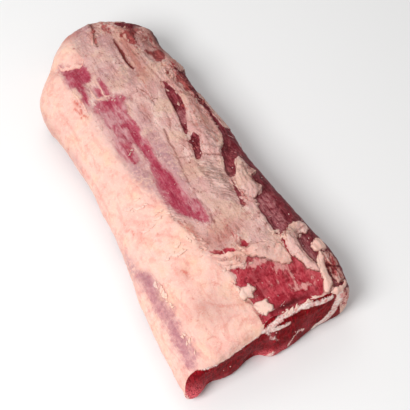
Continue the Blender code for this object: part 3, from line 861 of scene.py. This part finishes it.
# Leaf of loose fat
# A leaf of fat and skin that the knife freed from the lean on the right side. It still grows from
# the joint at its far tip and lies open over the dark meat, with a dried, browned edge.
LEAF = (
    (70, -31), (63, -39), (57, -48), (51, -56), (48, -64), (47, -72), (47, -79), (51, -84), (54, -89),
    (60, -87), (66, -83), (72, -78), (69, -72), (66, -66), (69, -61), (74, -58), (79, -55), (77, -50),
    (74, -46), (73, -38),
)
LEAF_FOLDS = (
    (1.2, 1.4, ((69, -34), (63, -42), (57, -52), (52, -62), (50, -74))),
    (1.4, 1.6, ((64, -85), (70, -79), (69, -74), (66, -68))),
    (1.4, 1.8, ((71, -60), (77, -56), (78, -51), (74, -47))),
)
LEAF_THICKNESS = 1.3
LEAF_RISE = 0.8
LEAF_CURL = 2.2
EDGE_ROUND = 0.8
OUTLINE_STEP = 1.1
GRID_STEP = 1.25
INNER_DEPTH = 1.3
ROLL_SIDES = 10
ROLL_STEP = 1.4
THINNEST, FULLEST = 0.25, 2.0
# How torn rims, lumps, a roll's path and its swelling wander: height, length, change of seed
TORN_WAVES = ((1.6, 5.0, 0.0), (0.9, 2.0, 7.0))
LUMP_WAVES = ((1.0, 6.0, 3.0), (0.5, 2.6, 5.0))
DRIFT_WAVES = ((1.0, 6.0, 0.0), (0.5, 2.5, 5.0))
SWELL_WAVES = ((0.9, 5.0, 11.0), (0.6, 2.2, 0.0))

skin_tree = bvhtree.BVHTree.FromPolygons(
    [v.co.copy() for v in joint.vertices], [tuple(p.vertices) for p in joint.polygons]
)


def ground(u, v):
    """Height in millimetres of the joint's top at a place."""
    hit = skin_tree.ray_cast(Vector((u * MM, v * MM, 0.3)), Vector((0.0, 0.0, -1.0)))[0]
    if hit is None:
        hit = skin_tree.find_nearest(Vector((u * MM, v * MM, 0.05)))[0]
    return hit.z / MM


def spaced(curve, step, closed):
    """Points along a curve at an even spacing."""
    if closed:
        curve = np.vstack([curve, curve[:1]])
    along = np.concatenate([[0.0], np.cumsum(np.hypot(*np.diff(curve, axis=0).T))])
    count = max(int(round(along[-1] / step)), 4)
    stops = np.linspace(0.0, along[-1], count + 1)
    points = np.stack([np.interp(stops, along, curve[:, k]) for k in (0, 1)], axis=1)
    return points[:-1] if closed else points


def torn_sheet(
    outline, thickness, rise=0.8, curl=0.0, curl_toward=(1.0, 0.0), torn=1.0, lumps=0.6, seed=1.0, steps=5,
    folds=0.0, fold_turn=0.0,
):
    """Verts, faces and rim distances of a closed sheet with torn edges that lies on the joint."""
    curve = rounded(outline, steps=steps) if steps > 1 else np.array(outline, float)
    rim = spaced(curve, OUTLINE_STEP, True)
    ahead = np.roll(rim, -1, axis=0) - np.roll(rim, 1, axis=0)
    outward = np.stack([ahead[:, 1], -ahead[:, 0]], axis=1) / np.hypot(*ahead.T)[:, None]
    flat = np.column_stack([rim, np.zeros(len(rim))])
    rim = rim + outward * (waves(flat, TORN_WAVES, seed) * torn)[:, None]
    low, high = rim.min(axis=0), rim.max(axis=0)
    us, vs = np.meshgrid(np.arange(low[0], high[0], GRID_STEP), np.arange(low[1], high[1], GRID_STEP))
    us = us.ravel() + np.tile([0.0, 0.4], us.size)[: us.size]
    vs = vs.ravel()
    depth = depth_inside(us, vs, rim, steps=1)
    inner = np.column_stack([us, vs])[depth > INNER_DEPTH]
    shoulder = rim - outward * EDGE_ROUND * 0.6
    shoulder = shoulder[depth_inside(shoulder[:, 0], shoulder[:, 1], rim, steps=1) > EDGE_ROUND * 0.4]
    flat = np.vstack([rim, shoulder, inner])
    edges = [(i, (i + 1) % len(rim)) for i in range(len(rim))]
    laid = geometry.delaunay_2d_cdt([Vector(p) for p in flat.tolist()], edges, [], 1, 1e-6)
    flat, faces = np.array([tuple(p) for p in laid[0]]), laid[2]
    depth = np.clip(path_gap(flat[:, 0], flat[:, 1], rim, closed=True), 0.0, None)
    on_rim = depth < 1e-4
    share = (flat - flat.mean(axis=0)) @ np.array(curl_toward)
    share = (share - share.min()) / max(np.ptp(share), 1e-6)
    base = np.array([ground(u, v) for u, v in flat]) + rise + curl * eased(share, 0.3, 1.0)
    swell = np.clip(depth / (EDGE_ROUND * 0.5), 0.0, 1.0)
    spot = np.column_stack([flat, np.zeros(len(flat))])
    bumps = waves(spot, LUMP_WAVES, seed) * lumps
    bumps -= folds * fold_lines(turned(spot, fold_turn), 5.0, (5.0, 1.0, 1.0), seed, 0.16)
    top = base + swell * (thickness + bumps)
    under_side = base - swell * 0.5
    verts = [(u * MM, v * MM, z * MM) for (u, v), z in zip(flat, top)]
    lower = {}
    for i in range(len(flat)):
        if on_rim[i]:
            lower[i] = i
        else:
            lower[i] = len(verts)
            verts.append((flat[i, 0] * MM, flat[i, 1] * MM, under_side[i] * MM))
    rims = list(depth) + [depth[i] for i in range(len(flat)) if not on_rim[i]]
    faces = [f for f in faces if not all(on_rim[i] for i in f)]
    shell = [tuple(f) for f in faces] + [tuple(lower[i] for i in reversed(f)) for f in faces]
    return verts, shell, rims


def mesh_of(name, *shapes, **marks):
    """One marked mesh from several closed shapes."""
    verts, faces, rims = [], [], []
    for shape_verts, shape_faces, shape_rims in shapes:
        start = len(verts)
        verts += shape_verts
        faces += [tuple(i + start for i in face) for face in shape_faces]
        rims += shape_rims
    mesh = bpy.data.meshes.new(name)
    mesh.from_pydata(verts, [], faces)
    tidy = bmesh.new()
    tidy.from_mesh(mesh)
    bmesh.ops.recalc_face_normals(tidy, faces=tidy.faces)
    tidy.to_mesh(mesh)
    tidy.free()
    u, v, _ = (np.array(verts) / MM).T
    spots = {"violet": VIOLET_CAST, "warm": WARM_CAST, "scrappy": SCRAPPY, "stain": STAIN}
    cast = {label: soft_spots(u, v, rows) for label, rows in spots.items()}
    mark(mesh, **{**cast, "crease": strokes_at(u, v, CREASES), "rim": rims, **marks})
    return mesh


def rolled_strip(half_width, height, path, seed=1.0, sink=1.2, wedge=0.0, wander=0.6):
    """A long low roll on the joint, closed at both ends; a wedge is flat on the left of its path."""
    line = spaced(rounded(path, closed=False, steps=6), ROLL_STEP, False)
    count = len(line)
    ahead = np.gradient(line, axis=0)
    sideways = np.stack([ahead[:, 1], -ahead[:, 0]], axis=1) / np.hypot(*ahead.T)[:, None]
    spots = np.column_stack([line, np.zeros(count)])
    drift = waves(spots, DRIFT_WAVES, seed) * half_width * wander
    fuller = np.clip(1.0 + waves(spots, SWELL_WAVES, seed), THINNEST, FULLEST)
    line = line + sideways * drift[:, None]
    verts = [(line[0, 0] * MM, line[0, 1] * MM, ground(*line[0]) * MM)]
    for i in range(1, count - 1):
        taper = math.sqrt(max(math.sin(math.pi * i / (count - 1)), 0.0)) * fuller[i]
        for k in range(ROLL_SIDES):
            angle = math.tau * k / ROLL_SIDES
            across_roll = math.cos(angle)
            u, v = line[i] + sideways[i] * half_width * taper * across_roll
            slope = 1.0 - wedge * (1.0 - across_roll) * 0.5
            reach = height * taper * slope if math.sin(angle) > 0 else sink
            verts.append((u * MM, v * MM, (ground(u, v) + reach * math.sin(angle)) * MM))
    verts.append((line[-1, 0] * MM, line[-1, 1] * MM, ground(*line[-1]) * MM))
    faces = []
    last = len(verts) - 1
    for k in range(ROLL_SIDES):
        after = (k + 1) % ROLL_SIDES
        faces.append((0, 1 + after, 1 + k))
        for i in range(count - 3):
            a = 1 + i * ROLL_SIDES
            faces.append((a + k, a + after, a + ROLL_SIDES + after, a + ROLL_SIDES + k))
        a = 1 + (count - 3) * ROLL_SIDES
        faces.append((a + k, a + after, last))
    return verts, faces, [FAR_FROM_RIM] * len(verts)


leaf_shapes = [torn_sheet(
    LEAF, LEAF_THICKNESS, LEAF_RISE, LEAF_CURL, (0.9, -0.3), torn=0.6, lumps=0.4, seed=4.0,
    folds=1.0, fold_turn=62.0,
)]
leaf_shapes += [rolled_strip(*fold, 5.0 + i, wedge=1.2) for i, fold in enumerate(LEAF_FOLDS)]
add_piece("loose_leaf", mesh_of("leaf", *leaf_shapes, fat_cap=-8.0, shade=-0.22), beef)

# Curled scraps beside the leaf
# Thin skin that shrank back into curls when it was cut, where the leaf meets the silver skin.
# Each is a rolled strip that lies on the joint.
CURLS = (
    (1.6, 2.0, ((48, -62), (47, -70), (50, -79), (54, -84))),
    (2.2, 2.6, ((46, -80), (49, -86), (53, -90), (58, -92))),
    (1.6, 1.8, ((49, -92), (54, -96), (58, -94))),
    (1.2, 1.4, ((47, -52), (45, -58), (46, -64))),
    (1.8, 2.0, ((62, -86), (67, -82), (70, -76), (67, -71))),
)


def rolls(name, strips, seed=1.0, sink=1.2, wedge=0.0, wander=0.6, **marks):
    """One mesh of several rolled strips."""
    shapes = [rolled_strip(*strip, seed + 3.7 * i, sink, wedge, wander) for i, strip in enumerate(strips)]
    return mesh_of(name, *shapes, **marks)


add_piece("curled_scraps", rolls("curls", CURLS, seed=2.0), beef)

# Rolled flap
# The outer end of the rib cap, cut loose and rolled back on itself near the right corner. Fat on
# its outside shows pale; the roll's rim stands above the dark lean inside it.
ROLLED_FLAP = (
    (57, -152), (59, -144), (64, -138), (70, -134), (78, -131), (86, -132), (91, -137), (91, -143),
    (86, -147), (79, -146), (74, -147), (71, -152), (70, -160), (71, -170), (74, -180), (76, -190),
    (71, -193), (64, -184), (60, -175), (57, -164),
)
ROLLED_RIMS = (
    (3.4, 2.4, ((58, -166), (58, -154), (62, -143), (69, -137), (78, -134), (86, -134), (91, -138))),
    (1.6, 1.8, ((69, -150), (68, -158), (69, -168), (72, -180), (75, -190))),
    (1.8, 1.8, ((74, -148), (79, -144), (84, -143), (88, -139))),
)
flap_mesh = mesh_of(
    "rolled_flap",
    torn_sheet(
        ROLLED_FLAP, 1.6, 0.6, 1.4, (0.4, 0.9), torn=1.2, lumps=1.2, seed=14.0, folds=1.2, fold_turn=80.0
    ),
    *[rolled_strip(*rim, 15.0 + i, wedge=0.5, wander=0.8) for i, rim in enumerate(ROLLED_RIMS)],
    fat_cap=-2.0,
)
add_piece("rolled_flap", flap_mesh, beef)

# Corner flap
# The last strip of rib cap at the right corner of the cut end: a knob of fat and a band that runs
# from it down to the cut end, with ragged lean outside them.
CORNER_KNOB = (
    (80, -165), (83, -160), (88, -157), (95, -155), (98, -160), (98, -167), (93, -172), (87, -171),
    (82, -171),
)
CORNER_BAND = (
    (86, -171), (88, -176), (84, -184), (81, -194), (80, -204), (76, -212), (68, -216), (63, -213),
    (67, -207), (71, -198), (74, -188), (79, -178),
)
CORNER_ROLLS = (
    (2.0, 2.4, ((82, -174), (76, -186), (72, -200), (68, -210))),
    (2.6, 2.6, ((70, -216), (82, -216), (92, -212), (98, -206))),
)
CORNER_SCRAPS = (
    ((86, -176), (93, -173), (99, -178), (101, -188), (95, -191), (88, -188), (85, -182)),
    ((85, -190), (92, -190), (99, -193), (98, -202), (92, -208), (85, -211), (83, -202)),
)
corner_mesh = mesh_of(
    "corner_flap",
    torn_sheet(CORNER_KNOB, 2.4, 0.6, seed=24.0),
    torn_sheet(CORNER_BAND, 1.8, 0.6, 1.2, (-1.0, 0.0), seed=25.0),
    *[rolled_strip(*roll, 26.0 + i) for i, roll in enumerate(CORNER_ROLLS)],
    fat_cap=4.0, scrappy=0.0, stain=0.0, warm=0.0, shade=-0.3,
)
add_piece("corner_flap", corner_mesh, beef)
corner_scraps = [
    torn_sheet(outline, 1.6, 0.2, lumps=2.6, seed=28.0 + i, folds=1.4, fold_turn=70.0)
    for i, outline in enumerate(CORNER_SCRAPS)
]
add_piece("corner_scraps", mesh_of("corner_scraps", *corner_scraps, fat_cap=2.0), beef)

# Seam fold
# Cream fat that was cut across and pulled back from the eye muscle, so it lies in a soft mound
# above the crimson lean, with a whitish lip where the silver skin was cut.
SEAM_MOUND = (
    (8, -138), (18, -137), (28, -138), (38, -139), (46, -143), (52, -150), (54, -158), (54, -168),
    (46, -169), (38, -164), (30, -158), (22, -153), (14, -148),
)
SEAM_LIPS = (
    (2.6, 1.7, ((14, -145), (9, -141), (2, -137), (-8, -134), (-16, -130), (-24, -124))),
    (2.0, 1.2, ((4, -149), (-4, -143), (-12, -140), (-18, -134))),
    (1.6, 1.0, ((6, -153), (-1, -149), (-9, -147), (-14, -143))),
    (2.0, 1.2, ((30, -139), (40, -141), (50, -148), (53, -158))),
    (1.4, 0.9, ((8, -128), (10, -134), (13, -140))),
)
seam_shape = torn_sheet(SEAM_MOUND, 1.8, 0.3, lumps=0.9, seed=34.0)
seam_mesh = mesh_of("seam_mound", seam_shape, fat_cap=2.0, shade=-0.15, rim=FAR_FROM_RIM)
add_piece("seam_mound", seam_mesh, beef)
add_piece("seam_lips", rolls("seam_lips", SEAM_LIPS, seed=36.0, wedge=0.5, fat_cap=4.0, shade=-0.3), beef)

# Fat chips
# Two thick chips of fat left on the eye muscle beside the fat cap, each standing clear of the lean
# with a cut edge all round.
CHIPS = (
    (
        (-17, -176), (-9, -170), (-5, -172), (-1, -169), (1, -174), (4, -178), (-2, -181), (-3, -186),
        (-9, -183), (-13, -185), (-17, -181),
    ),
    (
        (-10, -192), (-4, -189), (3, -191), (9, -190), (7, -197), (10, -201), (7, -207), (1, -206),
        (-3, -209), (-8, -202),
    ),
)
chip_shapes = [
    torn_sheet(outline, 1.3, 0.4, 1.0, (1.0, 0.3), torn=0.2, lumps=0.3, seed=44.0 + i, steps=1)
    for i, outline in enumerate(CHIPS)
]
chip_mesh = mesh_of("fat_chips", *chip_shapes, fat_cap=9.0, shade=-0.7, scrappy=0.0, rim=FAR_FROM_RIM)
add_piece("fat_chips", chip_mesh, beef)

# Far lobe and bone knob
# At the far end the fat cap ends in a thick lip that hangs over the lean, and on the right a knob
# of fat and gristle covers the last cut rib.
FAR_LIP = (
    (2.0, 1.6, ((-46, 186), (-44, 177), (-38, 171), (-30, 168), (-23, 166), (-19, 172))),
    (1.2, 1.0, ((-50, 138), (-48, 128), (-47, 114), (-48, 104))),
    (0.8, 0.7, ((-31, 130), (-31, 122), (-30, 113), (-24, 111))),
    (0.8, 0.8, ((-21, 136), (-20, 124), (-21, 113), (-15, 109))),
    (1.6, 1.8, ((0, 184), (3, 192), (6, 198), (8, 206))),
)
KNOB = (
    (58, 123), (61, 128), (66, 132), (72, 135), (80, 134), (86, 129), (87, 120), (83, 114), (76, 111),
    (70, 112), (65, 107), (60, 111), (57, 117),
)
KNOB_RIDGES = (
    (2.4, 1.6, ((62, 124), (68, 120), (76, 122), (83, 126))),
    (2.2, 1.4, ((64, 112), (70, 116), (78, 114), (84, 118))),
)
add_piece("far_lip", rolls("far_lip", FAR_LIP, seed=54.0, wedge=0.4, fat_cap=5.0), beef)
knob_shapes = [torn_sheet(KNOB, 1.4, 0.3, lumps=1.8, seed=55.0, folds=1.4, fold_turn=40.0)]
knob_shapes += [rolled_strip(*ridge, 56.0 + i) for i, ridge in enumerate(KNOB_RIDGES)]
add_piece("bone_knob", mesh_of("bone_knob", *knob_shapes, fat_cap=-1.0), beef)

# Torn edges of silver skin
# Wherever the silver skin was slit over a rib, its edges shrank back and stand up as thin pale rims
# along the dark strips, the trimmed side and the opened lean.
SKIN_RIMS = (
    (2.2, 1.2, ((51, 98), (56, 88), (58, 76), (58, 64), (56, 54), (52, 46), (48, 39))),
    (1.8, 1.1, ((29, 22), (33, 32), (34, 42), (35, 52), (38, 62), (40, 74), (42, 86))),
    (1.6, 1.1, ((45, 20), (47, 10), (46, 2), (42, -6), (39, -14))),
    (1.6, 1.1, ((23, -14), (25, -6), (26, 3), (28, 10), (33, 18))),
    (3.0, 1.8, ((66, 2), (68, 14), (68, 28), (70, 42), (67, 56), (70, 70))),
    (2.8, 1.6, ((46, -38), (49, -26), (54, -15), (61, -8), (68, 1))),
    (2.4, 1.4, ((50, -134), (49, -122), (51, -110), (51, -98), (50, -92))),
    (2.0, 1.0, ((21, 132), (20, 146), (21, 160), (23, 176))),
    (2.2, 1.2, ((30, 180), (31, 164), (29, 148), (30, 132))),
    (2.6, 1.4, ((52, 106), (56, 96), (59, 84), (61, 72))),
)
add_piece("skin_rims", rolls("skin_rims", SKIN_RIMS, seed=64.0, wedge=0.9, wander=0.3), beef)

# Torn flakes
# Small flakes of fat and skin that the knife left standing, thickest round the seam, the bruise and
# the torn edges. Each is a thin scrap that still holds to the joint along one side.
FLAKE_THICKNESS = 0.5
FLAKE_POINTS = 9
# Lobes round a flake's outline, as shares of its length: height, how many, change of seed
FLAKE_LOBES = ((0.16, 3.0, 1.0), (0.1, 5.0, 2.0))
# How many, centre x and y, half spreads, length, width, lie in degrees, depth of fat, paleness; the pale
# flakes on the fat cap stand partly for painted highlights
FLAKE_ZONES = (
    (5, -8, -145, 10, 4, 7.0, 3.0, 40, 6.0, 0.4), (3, -14, -168, 3, 6, 5.0, 2.6, 80, 8.0, 0.4),
    (11, -80, -134, 2.2, 18, 7.0, 2.8, 88, 9.0, 0.5), (9, -83, -190, 2.4, 13, 6.5, 2.6, 84, 9.0, 0.3),
    (10, -24, -108, 7, 14, 8.0, 3.2, 130, 6.0, 0.3), (7, -50, -29, 16, 7, 9.0, 3.6, 150, 9.0, 0.5),
    (6, -48, -58, 15, 6, 9.0, 3.6, 160, 9.0, 0.4), (6, -54, -101, 14, 5, 9.0, 4.0, 170, 9.0, 0.5),
    (9, 22, -148, 24, 5, 6.5, 3.0, 160, -2.0, 0.2), (9, 48, -70, 4, 17, 7.0, 3.2, 100, -6.0, 0.2),
    (6, 58, -138, 9, 5, 6.0, 2.8, 20, -4.0, 0.2), (10, 91, -170, 8, 14, 7.0, 3.6, 70, 2.0, 0.3),
    (8, 64, 112, 12, 16, 8.0, 3.8, 60, -2.0, 0.1), (6, 8, 196, 5, 11, 6.0, 3.0, 80, 0.0, 0.2),
    (8, -31, 33, 6, 6, 3.6, 1.5, 0, -8.0, 0.5), (5, -15, 103, 9, 4, 3.0, 1.4, 0, -8.0, 0.4),
    (3, 50, 70, 4, 26, 6.0, 2.4, 80, -9.0, 0.1), (7, 74, 40, 4, 34, 7.0, 3.4, 90, -6.0, 0.0),
    (12, 24, -213, 32, 1.6, 8.0, 2.6, 8, 6.0, 0.8), (5, -6, 4, 3, 20, 3.6, 1.5, 60, -9.0, 0.4),
    (7, 52, 176, 14, 18, 8.0, 3.6, 50, -1.0, 0.1),
)
draw = np.random.default_rng(12)


def flake(at, long, wide, lie, seed):
    """A small torn scrap whose middle lies at a place."""
    outline = []
    for step in range(FLAKE_POINTS):
        angle = math.tau * step / FLAKE_POINTS
        reach = 0.5 + sum(height * math.sin(count * angle + k * seed) for height, count, k in FLAKE_LOBES)
        along, over = long * reach * math.cos(angle), wide * reach * math.sin(angle)
        outline.append((
            at[0] + along * math.cos(lie) - over * math.sin(lie),
            at[1] + along * math.sin(lie) + over * math.cos(lie),
        ))
    toward = (math.sin(lie), math.cos(lie))
    return torn_sheet(outline, FLAKE_THICKNESS, 0.1, 0.8, toward, torn=0.6, lumps=0.3, seed=seed, steps=1)


def is_closed(faces):
    """Whether every edge of a shape is shared by just two faces."""
    shared = {}
    for face in faces:
        for pair in zip(face, face[1:] + face[:1]):
            edge = tuple(sorted(pair))
            shared[edge] = shared.get(edge, 0) + 1
    return set(shared.values()) == {2}


scraps, fatness_of, shade_of = [], [], []
for zone, (count, x, y, half_x, half_y, long, wide, lie, fatness, paleness) in enumerate(FLAKE_ZONES):
    for n in range(count):
        at = (x + half_x * draw.uniform(-1, 1), y + half_y * draw.uniform(-1, 1))
        size = draw.uniform(0.6, 1.3)
        turn = math.radians(lie + draw.uniform(-35, 35))
        scrap = flake(at, long * size, wide * size, turn, 80.0 + 10.0 * zone + n)
        if is_closed(scrap[1]):
            scraps.append(scrap)
            fatness_of += [fatness] * len(scrap[0])
            # Paleness lightens the flakes through the shade mark; on the fat cap it is partly a painted
            # highlight
            shade_of += [-paleness] * len(scrap[0])
flake_mesh = mesh_of("flakes", *scraps, fat_cap=fatness_of, shade=shade_of, rim=FAR_FROM_RIM)
add_piece("torn_flakes", flake_mesh, beef)

# Sinew strands and fat flecks
# Threads of torn sinew lie on the opened lean, and crumbs of fat from the saw and knife stick to
# the wet meat. Both are scattered over the parts of the joint where they belong.
STRAND_POINTS = 7
STRAND_SIDES = 4
SMALLEST, LARGEST = 0.5, 1.6
# What each kind feeds the tree's named inputs. Its lie is the least and most turn in radians, how fine
# its waves are, and the noise level that leaves a point where it was.
STRANDS = {"Density": 9000.0, "Seed": 3, "Length": 0.0075, "Thickness": 0.00016, "Waviness": 0.0028}
STRAND_LIE = ((-0.15, -0.15, -0.9), (0.15, 0.15, 0.5), 240.0, (0.5, 0.5, 0.62))
CRUMBS = {"Density": 5000.0, "Seed": 8, "Length": 0.0, "Thickness": 0.0005, "Waviness": 0.0016}
CRUMB_LIE = ((-0.15, -0.15, -3.0), (0.15, 0.15, 3.0), 700.0, (0.5, 0.5, 0.5))


def scatter_tree(name, where, material, lie, as_strands):
    """Geometry nodes that scatter strands or crumbs by a density kept on the mesh."""
    tree = bpy.data.node_groups.new(name, "GeometryNodeTree")
    tree.interface.new_socket("Geometry", in_out="INPUT", socket_type="NodeSocketGeometry")
    for label in ("Density", "Length", "Thickness", "Waviness"):
        tree.interface.new_socket(label, in_out="INPUT", socket_type="NodeSocketFloat")
    tree.interface.new_socket("Seed", in_out="INPUT", socket_type="NodeSocketInt")
    tree.interface.new_socket("Geometry", in_out="OUTPUT", socket_type="NodeSocketGeometry")

    def node(kind, feeds, **settings):
        """Add a node and feed its inputs with values or with other nodes' outputs."""
        made = tree.nodes.new(kind)
        for key, value in settings.items():
            setattr(made, key, value)
        for key, value in feeds.items():
            if isinstance(value, bpy.types.NodeSocket):
                tree.links.new(value, made.inputs[key])
            else:
                made.inputs[key].default_value = value
        return made.outputs

    least_turn, most_turn, wave_scale, still = lie
    given = node("NodeGroupInput", {})
    amount = node("GeometryNodeInputNamedAttribute", {"Name": where}, data_type="FLOAT")["Attribute"]
    density = node("ShaderNodeMath", {0: amount, 1: given["Density"]}, operation="MULTIPLY")[0]
    points = node("GeometryNodeDistributePointsOnFaces", {
        "Mesh": given["Geometry"], "Density": density, "Seed": given["Seed"],
    })
    if as_strands:
        reach = node("ShaderNodeCombineXYZ", {"Y": given["Length"]})[0]
        line = node("GeometryNodeCurvePrimitiveLine", {"End": reach})[0]
        line = node("GeometryNodeResampleCurve", {"Curve": line, "Count": STRAND_POINTS})[0]
        ring = node("GeometryNodeCurvePrimitiveCircle", {
            "Resolution": STRAND_SIDES, "Radius": given["Thickness"],
        })[0]
        shape = node("GeometryNodeCurveToMesh", {
            "Curve": line, "Profile Curve": ring, "Fill Caps": True,
        })[0]
    else:
        shape = node("GeometryNodeMeshIcoSphere", {"Radius": given["Thickness"], "Subdivisions": 2})["Mesh"]
    turns = {"Min": least_turn, "Max": most_turn}
    spin = node("FunctionNodeRandomValue", turns, data_type="FLOAT_VECTOR")[0]
    spun = node("FunctionNodeRotateRotation", {
        "Rotation": points["Rotation"], "Rotate By": spin,
    }, rotation_space="LOCAL")[0]
    size = node("FunctionNodeRandomValue", {2: SMALLEST, 3: LARGEST}, data_type="FLOAT")[1]
    placed = node("GeometryNodeInstanceOnPoints", {
        "Points": points["Points"], "Instance": shape, "Rotation": spun, "Scale": size,
    })[0]
    real = node("GeometryNodeRealizeInstances", {0: placed})[0]
    ripple = node("ShaderNodeTexNoise", {"Scale": wave_scale}, noise_dimensions="3D")["Color"]
    ripple = node("ShaderNodeVectorMath", {0: ripple, 1: still}, operation="SUBTRACT")[0]
    sway = node("ShaderNodeVectorMath", {0: ripple, "Scale": given["Waviness"]}, operation="SCALE")[0]
    bent = node("GeometryNodeSetPosition", {"Geometry": real, "Offset": sway})[0]
    real = node("GeometryNodeRealizeInstances", {0: bent})[0]
    coloured = node("GeometryNodeSetMaterial", {"Geometry": real, "Material": material})[0]
    node("NodeGroupOutput", {0: coloured})
    return tree


def scattered(name, where, amount, sizes, lie, material, as_strands):
    """A plain mesh of small shapes scattered over the joint."""
    bed = joint.copy()
    store(bed, where, amount)
    holder = bpy.data.objects.new(name + "_bed", bed)
    bpy.context.scene.collection.objects.link(holder)
    tree = scatter_tree(name, where, material, lie, as_strands)
    modifier = holder.modifiers.new(name, "NODES")
    modifier.node_group = tree
    for item in tree.interface.items_tree:
        if item.name in sizes and item.in_out == "INPUT":
            modifier[item.identifier] = sizes[item.name]
    evaluated = holder.evaluated_get(bpy.context.evaluated_depsgraph_get())
    mesh = bpy.data.meshes.new_from_object(evaluated)
    holder.modifiers.remove(modifier)
    bpy.data.objects.remove(holder, do_unlink=True)
    add_piece(name, mesh, material)


def sinew(name, pale, deep):
    """Glossy, faintly uneven sinew."""
    r = Recipe(name)
    surface = r.mix(r.span(r.grain(3.0, detail=3.0), 0.4, 0.65), pale, deep)
    return r.finish(surface, 0.35, r.grain(0.8, detail=2.0), 0.3)


in_crimson = up * eased(crimson_depth, 0.5, 2.5) * (1.0 - cut_end)
on_side = eased(px, 95.0, 85.0) * eased(py, 150.0, 140.0)
torn_sinew = np.max([
    0.35 * eased(rose_depth, -2.0, 1.0) * up,
    in_crimson * eased(py, -214.0, -208.0),
    0.5 * eased(dark_depth, -1.0, 1.0) * up * on_side,
], axis=0)
strand_sinew = sinew("strand_sinew", (240, 206, 200), (222, 150, 146))
scattered("sinew_strands", "strand_bed", torn_sinew, STRANDS, STRAND_LIE, strand_sinew, True)
crumbs = np.max([
    0.6 * in_crimson,
    0.35 * eased(rose_depth, -1.0, 1.0) * up,
    0.4 * eased(dark_depth, -0.5, 1.5) * up,
    0.25 * cut_end * eased(end_lean_depth, 0.0, 3.0),
], axis=0)
crumb_fat = sinew("crumb_fat", (244, 212, 202), (230, 176, 168))
scattered("fat_crumbs", "crumb_bed", crumbs, CRUMBS, CRUMB_LIE, crumb_fat, False)

# Floor, light and camera
# A plain pale table under broad, soft lights, and a camera that looks down over the fat side.
FLOOR_HALF = 3.0
floor_mesh = bpy.data.meshes.new("floor")
corners = [(FLOOR_HALF * x, FLOOR_HALF * y, 0.0) for x, y in ((-1, -1), (1, -1), (1, 1), (-1, 1))]
floor_mesh.from_pydata(corners, [], [(0, 1, 2, 3)])
floor = bpy.data.objects.new("floor", floor_mesh)
bpy.context.scene.collection.objects.link(floor)
tabletop = Recipe("pale_table")
tabletop.shader.inputs["Base Color"].default_value = (0.92, 0.92, 0.92, 1.0)
tabletop.shader.inputs["Roughness"].default_value = 0.7
tabletop.shader.inputs["Specular IOR Level"].default_value = 0.2
floor_mesh.materials.append(tabletop.material)

world = bpy.data.worlds.new("soft_room")
world.use_nodes = True
world.node_tree.nodes["Background"].inputs["Color"].default_value = (1.0, 0.99, 0.98, 1.0)
world.node_tree.nodes["Background"].inputs["Strength"].default_value = 0.40
bpy.context.scene.world = world


def soft_light(name, place, aim, size, power):
    """A broad square lamp that looks at a point."""
    lamp = bpy.data.lights.new(name, "AREA")
    lamp.shape = "SQUARE"
    lamp.size = size
    lamp.energy = power
    lamp_object = bpy.data.objects.new(name, lamp)
    lamp_object.location = place
    lamp_object.rotation_euler = (Vector(aim) - Vector(place)).to_track_quat("-Z", "Y").to_euler()
    bpy.context.scene.collection.objects.link(lamp_object)


soft_light("key", (-0.9, -0.3, 1.2), (0.0, 0.0, 0.04), 0.7, 17.5)
soft_light("fill", (0.3, 1.1, 1.4), (0.0, 0.0, 0.04), 1.2, 5.0)

VIEW_AZIMUTH = math.radians(-30.0)
VIEW_ELEVATION = math.radians(60.0)
VIEW_TARGET = Vector((0.0173, -0.0496, 0.040))
VIEW_DISTANCE = 1.075
camera_data = bpy.data.cameras.new("camera")
camera_data.lens = 85.0
camera_data.sensor_width = 36.0
camera = bpy.data.objects.new("camera", camera_data)
back = Vector((
    math.sin(VIEW_AZIMUTH) * math.cos(VIEW_ELEVATION),
    -math.cos(VIEW_AZIMUTH) * math.cos(VIEW_ELEVATION),
    math.sin(VIEW_ELEVATION),
))
camera.location = VIEW_TARGET + back * VIEW_DISTANCE
camera.rotation_euler = (-back).to_track_quat("-Z", "Y").to_euler()
bpy.context.scene.collection.objects.link(camera)
bpy.context.scene.camera = camera
bpy.context.scene.view_settings.view_transform = "Standard"
